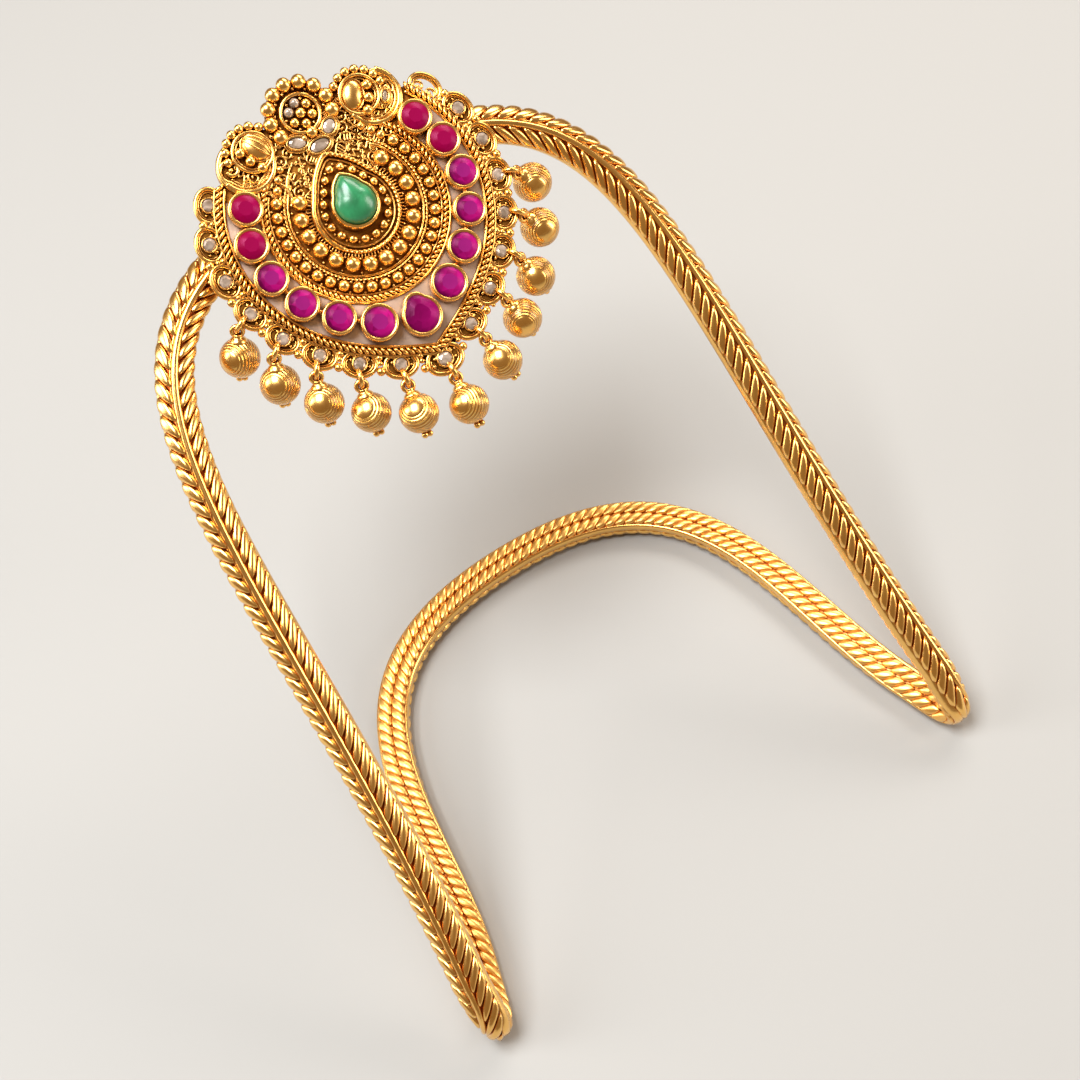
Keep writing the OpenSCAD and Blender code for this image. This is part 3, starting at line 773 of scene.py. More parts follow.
# angle, how far outside the ring, and size of each stone
ruby_places = [(20.5, 0.6, ruby_big_d), (40.5, 0, ruby_d), (60, 0, ruby_d), (79.5, 0, ruby_d),
               (98.5, -0.1, ruby_d), (117, -0.5, ruby_d)]
ruby_spots = [(*spot(s * a, ruby_ring_r + out), d) for s in (1, -1) for a, out, d in ruby_places]
pear_ruby_y, pear_ruby_w, pear_ruby_l = -ruby_ring_r - 1.4, 4.9, 5.5
collar_foot, collar_top = 1.35, 3.3
girdle_z = 3.05
# outward distance from the stone's edge, and height, up the outside and down the inside
collar_profile = [(-0.05, collar_foot + 0.3), (bezel_half - 0.06, collar_foot),
                  (bezel_half, collar_foot + 0.25), (bezel_half, collar_top - 0.3),
                  (bezel_half - 0.08, collar_top - 0.08), (bezel_half - 0.24, collar_top),
                  (bezel_half - 0.4, collar_top - 0.06), (0.02, girdle_z + 0.1), (-0.05, girdle_z - 0.25)]


def spun(profile, steps):
    """Spins a closed profile of (radius, height) pairs into a ring."""
    bm = bmesh.new()
    verts = [bm.verts.new((r, 0, z)) for r, z in profile]
    edges = [bm.edges.new((a, b)) for a, b in zip(verts, verts[1:] + verts[:1])]
    bmesh.ops.spin(bm, geom=verts + edges, cent=(0, 0, 0), axis=(0, 0, 1), angle=TURN, steps=steps,
                   use_merge=True, use_duplicate=False)
    bmesh.ops.recalc_face_normals(bm, faces=bm.faces)
    return as_mesh(bm)


@bench_piece("ruby_collars", bead_gold)
def ruby_collars(bm):
    rings = {d: spun([(d / 2 + out, z) for out, z in collar_profile], 40) for d in (ruby_d, ruby_big_d)}
    for x, y, d in ruby_spots:
        stamp(bm, rings[d], moved(x, y))
    collar(bm, lambda out: pear(pear_ruby_w + 2 * out, pear_ruby_l + 2.1 * out, 64), collar_profile,
           pear_ruby_y)
    # small pins between the collars hold them together
    for row in (ruby_spots[:6], ruby_spots[6:]):
        for (xa, ya, _), (xb, yb, _) in zip(row, row[1:]):
            put(bm, grain, ((xa + xb) / 2, (ya + yb) / 2), 2.0, 0.62)

# %% [markdown]
# The red stones are cut: a flat table on top, a crown of facets down to the girdle, and a pavilion below
# that the collar hides. Rings of corners are placed first and a convex hull wraps the facets round
# them. Light in a ruby gathers on the far side from where it comes in, so every face also carries a
# number, its glow, that the finish turns into a darker or a pinker red.

# %% Cut stones


def wrap(bm):
    """Wraps facets round the corners, joins those that lie in one plane and drops what lies inside."""
    hull = bmesh.ops.convex_hull(bm, input=bm.verts[:])
    spare = {g for g in hull["geom_interior"] + hull["geom_unused"] if isinstance(g, bmesh.types.BMVert)}
    bmesh.ops.delete(bm, geom=list(spare), context="VERTS")
    bmesh.ops.delete(bm, geom=[e for e in bm.edges if not e.link_faces], context="EDGES")
    bmesh.ops.dissolve_limit(bm, angle_limit=radians(1), verts=bm.verts[:], edges=bm.edges[:])
    bm.normal_update()
    return bm


def round_cut(rings):
    """A stone from round rings: radius, height, number of corners, and a turn in half corners."""
    bm = bmesh.new()
    for radius, z, count, turn in rings:
        made = bmesh.ops.create_circle(bm, segments=count, radius=radius)["verts"]
        bmesh.ops.rotate(bm, verts=made, cent=(0, 0, 0), matrix=Matrix.Rotation(turn * pi / count, 3, "Z"))
        bmesh.ops.translate(bm, vec=(0, 0, z), verts=made)
    return wrap(bm)


def outline_cut(rings):
    """A stone from rings that are each an outline's points and a height."""
    bm = bmesh.new()
    for points, z in rings:
        made = bmesh.ops.create_circle(bm, segments=len(points), radius=1)["verts"]
        for vert, (x, y) in zip(made, points):
            vert.co = (x, y, z)
    return wrap(bm)


def painted_stone(bm, seed, crimson=0.0, deep=0.0):
    """Gives each face its glow: brighter low on the side away from the light, with some sparkle, and painted
    shade that darkens the faces near the girdle.
    """
    glow = bm.loops.layers.float_color.new("glow")
    draw = np.random.default_rng(seed)
    size = max(v.co.xy.length for v in bm.verts)
    for face in bm.faces:
        sparkle = draw.uniform(-0.18, 0.18)
        table = face.normal.z > 0.98
        for loop in face.loops:
            x, y = loop.vert.co.x / size, loop.vert.co.y / size
            away = 0.75 * x - 0.65 * y
            # painted shade: the faces near the girdle, under the collar's lip, are darker
            far_side = 0.5 + 0.5 * away + sparkle - 0.35 * max(x * x + y * y - 0.75, 0) / 0.25
            value = 0.42 + 0.25 * away if table else min(max(far_side, 0), 1)
            loop[glow] = (value * (1 - deep), 1.0 if table and not deep else 0.0, crimson, 1)
    return as_mesh(bm)


def cut_round(d, seed, crimson):
    return painted_stone(round_cut([(d * 0.27, 0.62, 8, 0), (d * 0.41, 0.4, 8, 1), (d / 2, 0.12, 16, 0),
                                    (d / 2, 0, 16, 0), (d * 0.05, -1.1, 8, 0)]), seed, crimson)


def cut_pear(w, l, seed):
    levels = ((0.5, 0.7, 16), (0.82, 0.42, 16), (1, 0.12, 32), (1, 0, 32), (0.2, -1.0, 8))
    return painted_stone(outline_cut([(pear(w * share, l * share, steps), z) for share, z, steps in levels]),
                         seed, deep=0.5)

# %% [markdown]
# Coloured stones read as coloured because light comes back out of them. The red finish mixes a deep wine
# red and a hot pink by the painted glow, and turns the table a little purple, where it mirrors the sky.
# The last two stones of each side are crimson instead. The emerald is milky: its green is paler in soft
# clouds and veins.

# %% Stone finishes


def ruby_finish():
    made, tree, shader = new_finish("ruby red", {"Roughness": 0.3, "IOR": 1.76, "Specular IOR Level": 0.1,
                                                 "Specular Tint": (1.0, 0.3, 0.65, 1)})
    wine, pink, purple, crimson = ((0.07, 0.0, 0.025, 1), (0.46, 0.006, 0.19, 1), (0.21, 0.014, 0.14, 1),
                                   (0.22, 0.0, 0.025, 1))
    glow = painted(tree, "glow")
    cloud = ranged(tree, noise(tree, 520, 3), 0, 1, -0.18, 0.18)
    colour = blend(tree, maths(tree, "ADD", glow["Red"], cloud, use_clamp=True), wine, pink)
    colour = blend(tree, maths(tree, "MULTIPLY", glow["Green"], 0.6), colour, purple)
    colour = blend(tree, maths(tree, "MULTIPLY", glow["Blue"], 0.8), colour, crimson)
    plug(shader, {"Base Color": colour})
    return made


def emerald_finish():
    made, tree, shader = new_finish("milky emerald", {
        "Roughness": 0.28, "IOR": 1.58, "Coat Weight": 0.08, "Coat Roughness": 0.1,
        "Subsurface Weight": 0.15, "Subsurface Scale": 0.002, "Subsurface Radius": (0.3, 1.0, 0.5)})
    share = ranged(tree, noise(tree, 260, 5, 1.2), 0.35, 0.7)
    milk = blend(tree, share, (0.012, 0.13, 0.05, 1), (0.03, 0.27, 0.11, 1))
    vein = ranged(tree, noise(tree, 620, 4, 2.0), 0.62, 0.74, 0, 0.2)
    plug(shader, {"Base Color": blend(tree, vein, milk, (0.2, 0.6, 0.36, 1))})
    return made


def pale_finish():
    made, tree, shader = new_finish("pale polki stone", {"Roughness": 0.16, "Metallic": 0.35,
                                                         "Coat Weight": 0.6, "Coat Roughness": 0.06})
    share = ranged(tree, noise(tree, 700, 4, 0.8), 0.35, 0.65)
    plug(shader, {"Base Color": blend(tree, share, (0.26, 0.19, 0.14, 1), (0.62, 0.5, 0.42, 1))})
    return made


pale_stone = pale_finish()
print("stone finishes made")

# %% [markdown]
# A stone is set a little wider than the hole of its collar, so that no slit shows round it. The rubies
# each get a seed of their own for their sparkle. The emerald's dome is a rolled sheet that stands
# upright first and then rounds over, level by level, to one point.

# %% Setting the red stones and the emerald
tuck = 0.1
red_nodes = [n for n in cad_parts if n.startswith("ruby_")]


@bench_piece("rubies", ruby_finish(), stands_for=red_nodes, crease=12)
def rubies(bm):
    for i, (x, y, d) in enumerate(ruby_spots):
        stamp(bm, cut_round(d + tuck, 20 + i, 1.0 if i % 6 > 3 else 0.0), moved(x, y, girdle_z))
    stamp(bm, cut_pear(pear_ruby_w + tuck, pear_ruby_l + tuck, 50), moved(0, pear_ruby_y, girdle_z))


@bench_piece("emerald_dome", emerald_finish(), stands_for=["emerald"])
def emerald_dome(bm, levels=24, rise=2.9, wall_h=1.0, wall_share=0.18, peak_y=0.4):
    outline = pear(emerald_w + 0.04, emerald_l + 0.04)

    def corner(i, k):
        t = i / levels
        angle = pi / 2 * max(t - wall_share, 0) / (1 - wall_share)
        share = cos(angle) if i else 0.98
        x, y = outline[k]
        z = emerald_base + (wall_h * min(t / wall_share, 1) + (rise - wall_h) * sin(angle))
        return Vector((x * share, emerald_y + (y + peak_y) * share - peak_y, z))

    roll(bm, levels, len(outline), corner)

# %% [markdown]
# The matt sheet that lines the ruby channel is a plain solid, and its shape is right, so it stays and
# only gets its finish: pinkish beige, brushed in all directions, with small pits, and a dark brown
# painted shade where it meets the collars and wires.

# %% Matt channel sheet


def sheet_finish():
    made, tree, shader = new_finish("matt channel sheet", {"Metallic": 0.55, "Roughness": 0.48})
    share = ranged(tree, noise(tree, 120, 6), 0.35, 0.65)
    base = blend(tree, share, (0.34, 0.24, 0.18, 1), (0.64, 0.48, 0.4, 1))
    # painted shade: ambient occlusion darkens the sheet to dark brown in its crevices
    unshaded = ranged(tree, openness(tree, 0.0009), 0.35, 0.75)
    plug(shader, {"Base Color": blend(tree, unshaded, (0.12, 0.05, 0.02, 1), base),
                  "Normal": bumped(tree, noise(tree, 2600, 3), 0.4, 0.00008)})
    return made


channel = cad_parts["channel_sheet"]
channel.data.materials.clear()
channel.data.materials.append(sheet_finish())
print("channel sheet keeps its solid")

# %% [markdown]
# Seventeen scrolls make the rim. Each is one wire bent to an oval that is open toward the rope, with
# both ends curled in, round a small pale stone in its own collar on a floor painted dark as shade. The
# scroll at the cusp is wider, and the topmost on the right holds no stone.

# %% Scrolls of the rim
scroll_step, scroll_half = 15, 8
scroll_l, scroll_w, scroll_wire = 5.6, 4.4, 0.7
scroll_z = 0.75
pale_d = 2.05
stone_scrolls = range(-scroll_half, scroll_half)


def scroll_r(a):
    """How far out a scroll's middle is: a little less at the cusp, and at the topmost scrolls."""
    return rim(a) + 2.1 - 0.4 * exp(-abs(a) / 25) - (0.7 if abs(a) > 112 else 0)


def bow_points(x, y, w, h, start, end, steps=48):
    """Points on a bow of an oval, w to the side and h up from its middle, between two angles."""
    return [(x + w * cos(a), y + h * sin(a)) for a in np.linspace(start, end, steps)]


def curl_points(x, y, r_from, r_to, start, end, steps):
    """Points of a curl round a middle: from one radius to another, and from one angle to another."""
    return [(x + r * cos(a), y + r * sin(a))
            for r, a in zip(np.linspace(r_from, r_to, steps), np.linspace(start, end, steps))]


def scroll_course(oval_steps=40, curl_steps=22):
    """From one curl's heart, round the open oval, to the other curl's heart."""
    start = radians(52)
    oval = bow_points(0, 0, (scroll_l - scroll_wire) / 2, (scroll_w - scroll_wire) / 2, start, -pi - start,
                      oval_steps + 1)
    heart = Vector(oval[0]) + Vector((-0.32, -0.62))
    first = Vector(oval[0]) - heart
    first_angle = first.angle_signed(Vector((1, 0)))
    curl = curl_points(*heart, first.length * 0.28, first.length, first_angle + 1.45 * pi, first_angle,
                       curl_steps + 1)[:-1]
    return curl + oval + [(-x, y) for x, y in reversed(curl)]


def scroll_stamp(with_stone):
    bm = bmesh.new()
    course = flat_track(scroll_course(), step=0.16)
    count = len(course.points)
    wire(bm, course, lambda i: scroll_wire * (1 - 0.35 * abs(2 * i / count - 1) ** 4), 9, 1.15)
    if with_stone:
        edge = pale_d / 2
        ring = [(edge + 0.02, -0.35), (edge + 0.17, -0.35), (edge + 0.15, 0.42), (edge + 0.08, 0.5),
                (edge - 0.04, 0.46), (edge - 0.02, 0.2)]
        stamp(bm, spun(ring, 16), no_move)
        lay(bm, bow_points(0, 0, 1.98, 1.4, 0.5, -pi - 0.5, 30), 0.24, 6, 1.3, z=-0.05)
        for x, y, d in ((1.45, -0.35, 0.4), (0.25, 1.3, 0.5), (1.2, 0.85, 0.45)):
            put(bm, grain, (x, y), 0.0, d)
    else:
        lay(bm, bow_points(0, 0, 1.9, 1.3, 0.1, -3.3, 26), 0.42, 7, 1.1)
        for s in (-1, 1):
            coil = curl_points(0.95, 0.35, 0.85, 0.3, 0.4, -5.2, 36)
            lay(bm, [(s * x, y) for x, y in coil], 0.46, 8, 1.1)
            put(bm, grain, (s * 0.95, 0.35), 0.05, 0.5)
    return as_mesh(bm)

# %% [markdown]
# The scrolls are stamped round the rim with beads between them. Dark floors of painted shade close the
# ground behind, and each pale stone is turned and tilted a little by chance, as stones that are set by
# hand are.

# %% Setting out the rim


def scroll_matrix(k):
    a = k * scroll_step
    wide = 1.12 if k == 0 else 1
    return moved(*spot(a, scroll_r(a)), scroll_z) @ turned(radians(a)) @ sized(wide, wide, 1)


@bench_piece("rim_scrolls", work_gold)
def rim_scrolls(bm):
    full, empty = scroll_stamp(True), scroll_stamp(False)
    for k in stone_scrolls:
        stamp(bm, full, scroll_matrix(k))
    stamp(bm, empty, scroll_matrix(scroll_half))
    for k in stone_scrolls:
        a = (k + 0.5) * scroll_step
        for out, d, z in ((0.95, 1.35, 0.75), (-0.25, 0.85, 0.85), (-1.05, 1.05, 0.85)):
            put(bm, bead, spot(a, scroll_r(a) + out), z, d)
        if abs(k + 0.5) < 5 and k % 2:
            put(bm, grain, spot(a + 3.1, scroll_r(a) + 1.35), 0.7, 0.7)


# painted shade: dark discs close the ground inside and between the scrolls
@bench_piece("scroll_shade_floors", shade_floor_gold, crease=40)
def scroll_shade_floors(bm):

    def disc(segments, matrix):
        made = bmesh.ops.create_cone(bm, cap_ends=True, segments=segments, radius1=1, radius2=1, depth=0.3)
        bmesh.ops.transform(bm, matrix=matrix, verts=made["verts"])

    floor = moved(0, 0.25, -0.3) @ sized((scroll_l - 0.2) / 2, (scroll_w - 0.35) / 2, 1)
    for k in stone_scrolls:
        disc(20, scroll_matrix(k) @ floor)
        # a small dark disc of painted shade fills the corner between this scroll, the next one and the rope
        a = (k + 0.5) * scroll_step
        disc(14, moved(*spot(a, scroll_r(a) - 1.15), scroll_z - 0.3) @ sized(1.05, 1.05, 1))


@bench_piece("rim_stones", pale_stone, stands_for=["scroll_stones"], crease=12)
def scroll_stones(bm):
    for k in stone_scrolls:
        stone = round_cut([(pale_d * 0.3, 0.62, 6, 0.5), (pale_d * 0.46, 0.36, 7, 0),
                           (pale_d / 2, 0.1, 8, 0.3)])
        tilt = turned(rng.uniform(0, TURN)) @ turned(rng.uniform(-0.16, 0.16), "X")
        stamp(bm, as_mesh(stone), scroll_matrix(k) @ tilt)

# %% [markdown]
# The crest is a flower between two roundels. The flower is a ring of wire with seven beads inside, two
# of them pale, and petals of larger beads outside.

# %% Flower of the crest
seed_r, seed_z, seed_d = 1.65, 1.6, 1.45
pale_seeds = (1, 2)


def oval_points(w, l, steps=28):
    return [(w / 2 * cos(TURN * i / steps), l / 2 * sin(TURN * i / steps)) for i in range(steps)]


def ring_points(x, y, r, steps=48):
    return [(x + px, y + py) for px, py in oval_points(2 * r, 2 * r, steps)]


def seed_spot(i):
    """Place of the i-th of the six beads round the flower's middle."""
    a = TURN * (i + 0.5) / 6
    return seed_r * cos(a), flower_y + seed_r * sin(a)


@bench_piece("crest_flower", bead_gold)
def flower(bm, petal_r=4.6, petal_start=69, petal_pitch=27.8):
    lay(bm, ring_points(0, flower_y, 2.82), 0.62, 10, 1.2, closed=True, z=1.55)
    put(bm, bead, (0, flower_y), 1.75, 1.55)
    for i in range(6):
        a = TURN * (i + 0.5) / 6 + 0.52
        if i not in pale_seeds:
            put(bm, bead, seed_spot(i), seed_z, seed_d)
        put(bm, grain, (2.25 * cos(a), flower_y + 2.25 * sin(a)), 1.3, 0.5)
    # petals, a grain at the foot of each, and grains between them
    between_petals = petal_start + petal_pitch / 2
    for mesh, count, start, r, z, d in ((bead, 9, petal_start, petal_r, 1.5, 2.26),
                                        (grain, 9, petal_start, 0.79 * petal_r, 1.25, 0.45),
                                        (grain, 8, between_petals, 3.7, 1.25, 0.55)):
        for i in range(count):
            x, y = spot(start + petal_pitch * i, r)
            put(bm, mesh, (x, flower_y + y), z, d)
    for mesh, x, y, z, d in ((bead, 0.05, -3.1, 1.7, 1.75), (grain, -1.3, -3.35, 1.4, 1.0),
                             (grain, 1.4, -3.3, 1.4, 0.95)):
        put(bm, mesh, (x, flower_y + y), z, d)

# %% [markdown]
# A roundel is a ring that holds half an almond and a column of beads, with a row of beads over its outer
# shoulder and a crescent of three wires under it. The two mirror each other but for their almonds and
# curls, so one loop makes both.

# %% Roundels of the crest


def placed(matrix, points):
    """Points of the bench, moved by a matrix."""
    return [tuple((matrix @ Vector((*p, 0))).xy) for p in points]


@bench_piece("crest_roundels", bead_gold)
def roundels(bm):
    for s in (-1, 1):
        right = s > 0
        # x runs outward from the roundel's middle on both sides
        own = moved(s * roundel_x, roundel_y) @ sized(s, 1, 1)

        def here(points):
            return placed(own, points)

        lay(bm, here(ring_points(0, 0, 2.88)), 0.52, 10, 1.2, closed=True, z=1.6)
        lay(bm, here(ring_points(0, 0, 2.42)), 0.28, closed=True, z=1.4)
        # a large half almond, ribbed on the left roundel, in a rim of thin wire
        wide, tall = (3.2, 4.5) if right else (3.6, 4.4)
        lying = moved(s * (roundel_x - 0.85), roundel_y + 0.4, 1.3) @ turned(-s * radians(31))
        stamp(bm, big_bead, lying @ sized(wide, tall, 1.9))
        lay(bm, placed(lying, oval_points(wide + 0.25, tall + 0.25, 40)), 0.28, closed=True, z=1.45)
        for turn in () if right else (-8, 18, 42, 64):
            across, up = sin(radians(turn)), cos(radians(turn))
            rib = [lying @ Vector((wide / 2 * cos(b) * across, tall / 2 * sin(b), 0.97 * cos(b) * up))
                   for b in np.linspace(-1.35, 1.35, 20)]
            lay(bm, rib, 0.34)
        for place in ((1.68, 0.64), (0.94, -1.05), (-0.07, -2.6)):
            put(bm, bead, here([place])[0], 1.85, 1.5)
        for i in range(7):
            a = radians(5 + 21.5 * i)
            put(bm, bead, here([(3.8 * cos(a), 3.8 * sin(a))])[0], 1.3, 1.42)
        # the left one's crescent ends in a large open curl
        last = 0.95 if right else -0.3
        for r, d, z in ((4.0, 0.8, 1.35), (3.4, 0.42, 1.25), (2.95, 0.3, 1.15)):
            lay(bm, here(bow_points(1.65, -1, r, r, -2.9, last)), d, 9, 1.2, z=z)
        # a thick wire follows the edge of the lobe outside it
        lay(bm, here(bow_points(2, -1.3, 3.75, 3.75, -1.6, 1.25)), 0.85, 9, 1.2, z=1.2)
        across, big, small, d = (4.1, 1.2, 0.4, 0.4) if right else (4.0, 1.85, 0.6, 0.62)
        lay(bm, here(curl_points(across, -0.75, big, small, -1.2, 6.2, 50)), d, z=1.35)
        put(bm, grain, here([(across, -0.75)])[0], 1.35, 0.7)

# %% [markdown]
# Four small oval stones lie under the crest, each in a fine collar of two wires. Like the small stones of
# the rim they are foil-backed and pale, and the flower's two pale beads are of the same stone.

# %% Ovals of the crest
# place, width, length and turn of each oval
crest_places = [(-2.6, 12.1, 2.7, 1.6, -24), (2.7, 12.1, 2.3, 1.7, 35), (0.1, 10.35, 3.1, 1.7, 3),
                (12.2, 12.1, 1.5, 0.8, 60)]


@bench_piece("crest_collars", bead_gold)
def crest_collars(bm):
    for x, y, w, l, turn in crest_places:
        for wider, d, flat, z in ((0.42, 0.36, 1.6, 1.55), (1.05, 0.3, 1.3, 1.35)):
            ring = placed(moved(x, y) @ turned(radians(turn)), oval_points(w + wider, l + wider))
            lay(bm, ring, d, 8, flat, closed=True, z=z)


@bench_piece("crest_ovals", pale_stone, stands_for=["crest_stones"], crease=12)
def crest_ovals(bm):
    for x, y, w, l, turn in crest_places:
        stone = outline_cut([(oval_points(w * share, l * share, steps), z)
                             for share, z, steps in ((0.6, 0.36, 10), (0.9, 0.24, 12), (1, 0, 12))])
        stamp(bm, as_mesh(stone), moved(x, y, 1.4) @ turned(radians(turn)))
    for i in pale_seeds:
        put(bm, bead, seed_spot(i), seed_z, seed_d)

# %% [markdown]
# The bare ground between the crest and the emerald's border is filled with filigree: thin wires in curls
# and loops, and grains. Four little wires are made once and stamped wherever the random draw finds room.
# The draw starts from a fixed seed, so it always finds the same places.

# %% Filigree
# where the rows inside the rope end, in degrees, and radius and half width of each
rows_end = 150
inner_rows = ((10.1, 0.3), (11.8, 0.4), (inner_rope_r, 0))
pear_edge = [(x * 1.09, y * 1.06 - 0.08)
             for x, y in pear(border_w, border_l, 60, border_point, border_swell, border_lift)]


def within(outline, x, y):
    """True where a point lies inside a closed outline."""
    crossings = 0
    for (xa, ya), (xb, yb) in zip(outline, outline[1:] + outline[:1]):
        if (ya > y) != (yb > y) and x < xa + (y - ya) * (xb - xa) / (yb - ya):
            crossings += 1
    return crossings % 2 == 1


def apart(x, y, px, py, room):
    """True where two places are farther apart than room."""
    return (x - px) ** 2 + (y - py) ** 2 > room ** 2


def bare(x, y, room):
    """True where the plate between the crest and the emerald's border carries nothing yet."""
    r = sqrt(x * x + y * y)
    a = abs((np.degrees(np.arctan2(x, -y)) + 180) % 360 - 180)
    if a < rope_end or r > plate_reach(a) - 0.5 or within(pear_edge, x, y):
        return False
    if a < rows_end and any(abs(r - row_r) < half_w + room for row_r, half_w in inner_rows):
        return False
    taken = [(px, py, w / 2 + 0.5) for px, py, w, _, _ in crest_places]
    taken += [(px, py, d / 2 + 0.7 + room) for px, py, d in ruby_spots]
    taken += [(0, flower_y, 3.6), (-roundel_x, roundel_y, 3.1), (roundel_x, roundel_y, 3.1)]
    return all(apart(x, y, *spot_and_room) for spot_and_room in taken)


def motifs():
    """Little wires that fill the ground: a curl, a double curl, a barred leaf and a zigzag."""
    one = curl_points(0, 0, 1, 0.2, 0, 1.25 * TURN, 26)
    double = [(0.55 + 0.62 * x, 0.62 * y) for x, y in reversed(one)]
    double += [(-0.55 - 0.62 * x, -0.62 * y) for x, y in one]
    leaf_loop = [(1.15 * cos(b), 0.62 * sin(b) * (1.2 - 0.5 * cos(b)))
                 for b in np.linspace(0.2, TURN - 0.2, 26)]
    bars = [[(x, -0.5), (x + 0.1, 0.5)] for x in (-0.5, -0.05, 0.4)]
    zigzag = [(-1.2 + 0.6 * i, 0.5 * (-1) ** i) for i in range(5)]
    return [[one], [double], [leaf_loop] + bars, [zigzag]]


def draw_place():
    return rng.uniform(-12, 12), rng.uniform(3, 14.5)


@bench_piece("crest_filigree", bead_gold)
def filigree(bm, draws=3000, grain_draws=1500, most_grains=60):
    stamps = []
    for lines in motifs():
        one = bmesh.new()
        for line in lines:
            lay(one, line, 0.32, 7, 1.4, step=0.12)
        stamps.append(as_mesh(one))
    taken = []
    # what the first round leaves bare gets smaller copies
    for room, gap, least, most, z in ((0.2, 1.55, 0.8, 1.05, 1.2), (0, 1.15, 0.55, 0.7, 1.15)):
        for _ in range(draws):
            x, y = draw_place()
            if bare(x, y, room) and all(apart(x, y, *other, gap) for other in taken):
                turn = turned(rng.uniform(0, TURN)) @ Matrix.Scale(rng.uniform(least, most), 4)
                stamp(bm, stamps[len(taken) % 4], moved(x, y, z) @ turn)
                taken.append((x, y))
    # three longer wires run through the whole
    for x, y, r, start, end in ((-4.2, 6.2, 3.2, 2.2, 3.9), (-9.6, 6.6, 2.4, -0.9, 0.9),
                                (5.5, 7, 3.4, 0.5, 1.7)):
        lay(bm, bow_points(x, y, r, r, start, end), 0.42, 8, 1.2, z=1.4)
    grains = 0
    for _ in range(grain_draws):
        x, y = draw_place()
        if grains < most_grains and bare(x, y, 0):
            put(bm, grain, (x, y), 1.0, rng.uniform(0.35, 0.6))
            grains += 1
    print("filigree wires:", len(taken), "grains:", grains)

# %% [markdown]
# Eleven hollow balls hang from the lower scrolls. A ring of wire goes through each scroll, the eye of
# the drop goes through that ring, and both lie where the photograph shows them. So each drop has two
# benches: the ring swings from its scroll, and the drop swings on from the ring's far side.

# %% Rings and swing of the drops
drop_n, half_drops = 11, 5
ball_d, jump_wire, eye_wire, link_gap = 6, 0.45, 0.45, 0.12
chord_sag = 0.13
scroll_wire_half = scroll_wire * 1.3 * sin(pi / 4) / 2
jump_hole = scroll_wire_half + (chord_sag + eye_wire + 3 * link_gap) / 2
jump_r = jump_hole + jump_wire / 2
eye_r = (jump_wire + eye_wire) / 2 + link_gap + 0.15
eye_far = jump_hole - link_gap - eye_wire / 2 + eye_r
cap_far = eye_far + eye_r
ball_far = cap_far + 0.6 + ball_d / 2
ring_turn, ring_dip = 13, 25
hang_angles = [-24, -15, -11, -8, -8, -2, 15, 22, 25, 41, 48]
dips = [36, 35, 29, 22, 8, 8, 22, 34, 35, 41, 44]
groove_pitch = 0.5


def ring_and_drop(i):
    """Lays a jump ring on its scroll, with -Y toward the ring's far side, and swings its drop on from
    that far side to the way that it hangs."""
    a = (i - half_drops) * scroll_step
    edge = (scroll_w - scroll_wire) / 2 - chord_sag - scroll_wire_half - link_gap + jump_hole
    swing = hang_angles[i] - a
    turn = max(-ring_turn, min(ring_turn, swing))
    dip = min(dips[i], ring_dip)
    ring = (moved(*spot(a, scroll_r(a)), scroll_z) @ turned(radians(a)) @ moved(0, -edge)
            @ turned(radians(turn)) @ turned(radians(dip), "X"))
    drop = (ring @ moved(0, -jump_r) @ turned(radians(-dip), "X") @ turned(radians(swing - turn))
            @ turned(radians(dips[i]), "X") @ moved(0, jump_r))
    return ring, drop

# %% [markdown]
# The balls are engraved with fine circles round three smooth spots. Each corner of a face carries its
# distance from the nearest spot, and the finish cuts a groove, with a dark brown painted shade in it,
# wherever a wave of that distance is high. That is far lighter than real grooves, and the lines stay
# sharp at any size.

# %% Engraved balls


def engraved_ball(seed):
    """A ball whose faces carry how far round the engraver's circles they lie, and how deep the cut is."""
    bm = bmesh.new()
    bmesh.ops.create_uvsphere(bm, u_segments=36, v_segments=24, radius=ball_d / 2)
    draw = np.random.default_rng(seed)
    centres = [Vector(c) + Vector(draw.uniform(-0.25, 0.25, 3))
               for c in ((-0.45, 0.4, 0.8), (0.8, -0.5, -0.2), (-0.7, -0.6, -0.3))]
    centres = [c.normalized() for c in centres]
    layer = bm.loops.layers.float_color.new("engrave")
    for face in bm.faces:
        near = max(centres, key=face.calc_center_median().dot)
        for loop in face.loops:
            away = acos(max(-1, min(1, near.dot(loop.vert.co.normalized()))))
            loop[layer] = (away * ball_d / 2, min(max((away - 0.5) * 6, 0), 1), 0, 1)
    return as_mesh(bm)


def engrave(made):
    """Cuts the grooves into the normals of a finish and paints shade into them in its colour."""
    tree = made.node_tree
    shader = tree.nodes["Principled BSDF"]
    colour, normal = [shader.inputs[key].links[0].from_socket for key in ("Base Color", "Normal")]
    lines = painted(tree, "engrave")
    wave = maths(tree, "SINE", maths(tree, "MULTIPLY", lines["Red"], TURN / groove_pitch))
    cut = maths(tree, "MULTIPLY", wave, lines["Green"])
    # painted shade: the grooves are darkened to brown in the colour
    groove = ranged(tree, cut, 0.1, 0.9, 0, 0.6)
    plug(shader, {"Base Color": blend(tree, groove, colour, (0.45, 0.16, 0.02, 1)),
                  "Normal": bumped(tree, cut, 0.9, 0.00006, {"Normal": normal}, invert=True)})


engrave(ball_gold)
print("engraved finish:", ball_gold.name)

# %% [markdown]
# A drop is an eye of wire, a small cap, the ball, and two grains as a finial, and it hangs on a ring of
# thicker wire. Only the balls differ, each with a seed of its own for its circles.

# %% Drops
drop_nodes = [f"{kind}_{i + 1}" for kind in ("drop", "jump_ring") for i in range(drop_n)]


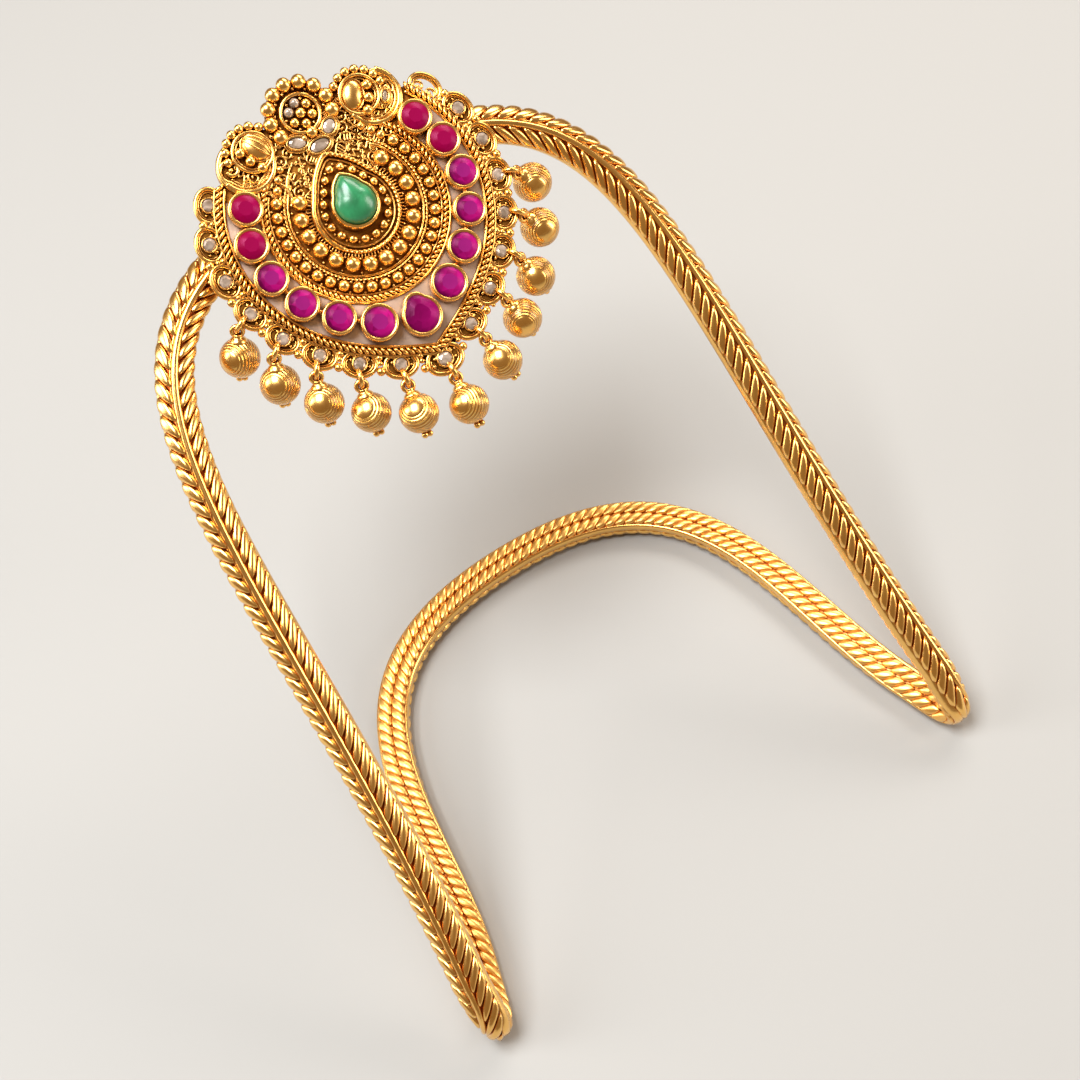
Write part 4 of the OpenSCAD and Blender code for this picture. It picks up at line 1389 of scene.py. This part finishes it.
@bench_piece("ball_drops", ball_gold, stands_for=drop_nodes)
def drops(bm):
    eye, link = bmesh.new(), bmesh.new()
    # both are thicker than the solids' rings, mostly outward, so that each still fits through the other
    lay(eye, ring_points(0, 0, eye_r + 0.08, 28), 0.7, 10, closed=True)
    lay(link, ring_points(0, 0, jump_r + 0.13, 28), 0.86, 10, 0.95, closed=True)
    eye, link = as_mesh(eye), as_mesh(link)
    cap = spun([(0.02, 0.9), (0.6, 0.85), (0.7, 0.7), (0.55, 0.5), (0.8, 0.3), (1.08, 0.1), (1.26, -0.14),
                (1.3, -0.3), (1.15, -0.45), (0.02, -0.3)], 24)
    for i in range(drop_n):
        ring, drop = ring_and_drop(i)
        stamp(bm, link, ring @ turned(pi / 2, "Y"))
        stamp(bm, eye, drop @ moved(0, -eye_far))
        stamp(bm, cap, drop @ moved(0, -cap_far - 0.55) @ turned(-pi / 2, "X"))
        stamp(bm, engraved_ball(60 + i), drop @ moved(0, -ball_far))
        for x, far, d in ((-0.36, 0.32, 1.1), (0.42, 0.36, 1.0)):
            stamp(bm, grain, drop @ moved(x, -ball_far - ball_d / 2 - far) @ sized(d, d, d))

# %% [markdown]
# The armlet lies on a plain pale table under soft studio light. Metal shows what is round it, so the
# lamps are large and few, with darker room between them: that gives every bead one bright spot and a
# dark side. The camera looks down at the angle of the photograph.

# %% Table, lamps and camera
camera_place = Vector((-0.0457, -0.1231, 0.2430))
forward = Vector((0.189, 0.495, -0.848)).normalized()
right = Vector((0.834, -0.537, -0.128))
right = (right - right.dot(forward) * forward).normalized()
up = right.cross(forward)
middle = Vector((0, 0, 0.04))


def table():
    bm = bmesh.new()
    bmesh.ops.create_grid(bm, x_segments=1, y_segments=1, size=2.0)
    top = show("table", as_mesh(bm, "table"))
    made = new_finish("pale table", {"Base Color": (0.34, 0.335, 0.33, 1), "Roughness": 0.65})[0]
    top.data.materials.append(made)


table()


def lamp(name, far, aside, above, back, size, watts, colour):
    """A large flat lamp: how far off, and how far to the side, above and behind the camera's middle."""
    light = bpy.data.lights.new(name, "AREA")
    light.shape = "RECTANGLE"
    light.size, light.size_y = size
    light.energy = watts
    light.color = colour
    made = show(name, light)
    made.location = middle + far * (up * above + right * aside - forward * back)
    made.rotation_euler = (middle - made.location).to_track_quat("-Z", "Y").to_euler()


lamp("window", 0.8, -0.4, 0.45, 0.8, (0.45, 0.36), 9.5, (0.97, 1, 1))
lamp("side card", 0.7, 0.9, 0.25, 0.35, (0.25, 0.5), 3, (1, 0.94, 0.86))
lamp("left card", 0.7, -1.0, 0.1, 0.3, (0.25, 0.6), 3.5, (1, 1, 0.98))
lamp("back card", 0.7, 0.2, 0.95, 0.25, (0.5, 0.2), 3, (1, 0.95, 0.88))
world = bpy.data.worlds.new("room")
bpy.context.scene.world = world
world.use_nodes = True
world.node_tree.nodes["Background"].inputs[0].default_value = (0.85, 0.58, 0.34, 1)
world.node_tree.nodes["Background"].inputs[1].default_value = 0.32

camera = show("camera", bpy.data.cameras.new("camera"))
camera.data.lens = 52.17
camera.data.sensor_width = 36
camera.data.clip_start = 0.01
camera.matrix_world = Matrix((right, up, -forward)).transposed().to_4x4()
camera.location = camera_place
bpy.context.scene.camera = camera
bpy.context.scene.view_settings.view_transform = "Standard"
print("lamps:", len(bpy.data.lights), "lens:", round(camera.data.lens, 1), "mm")
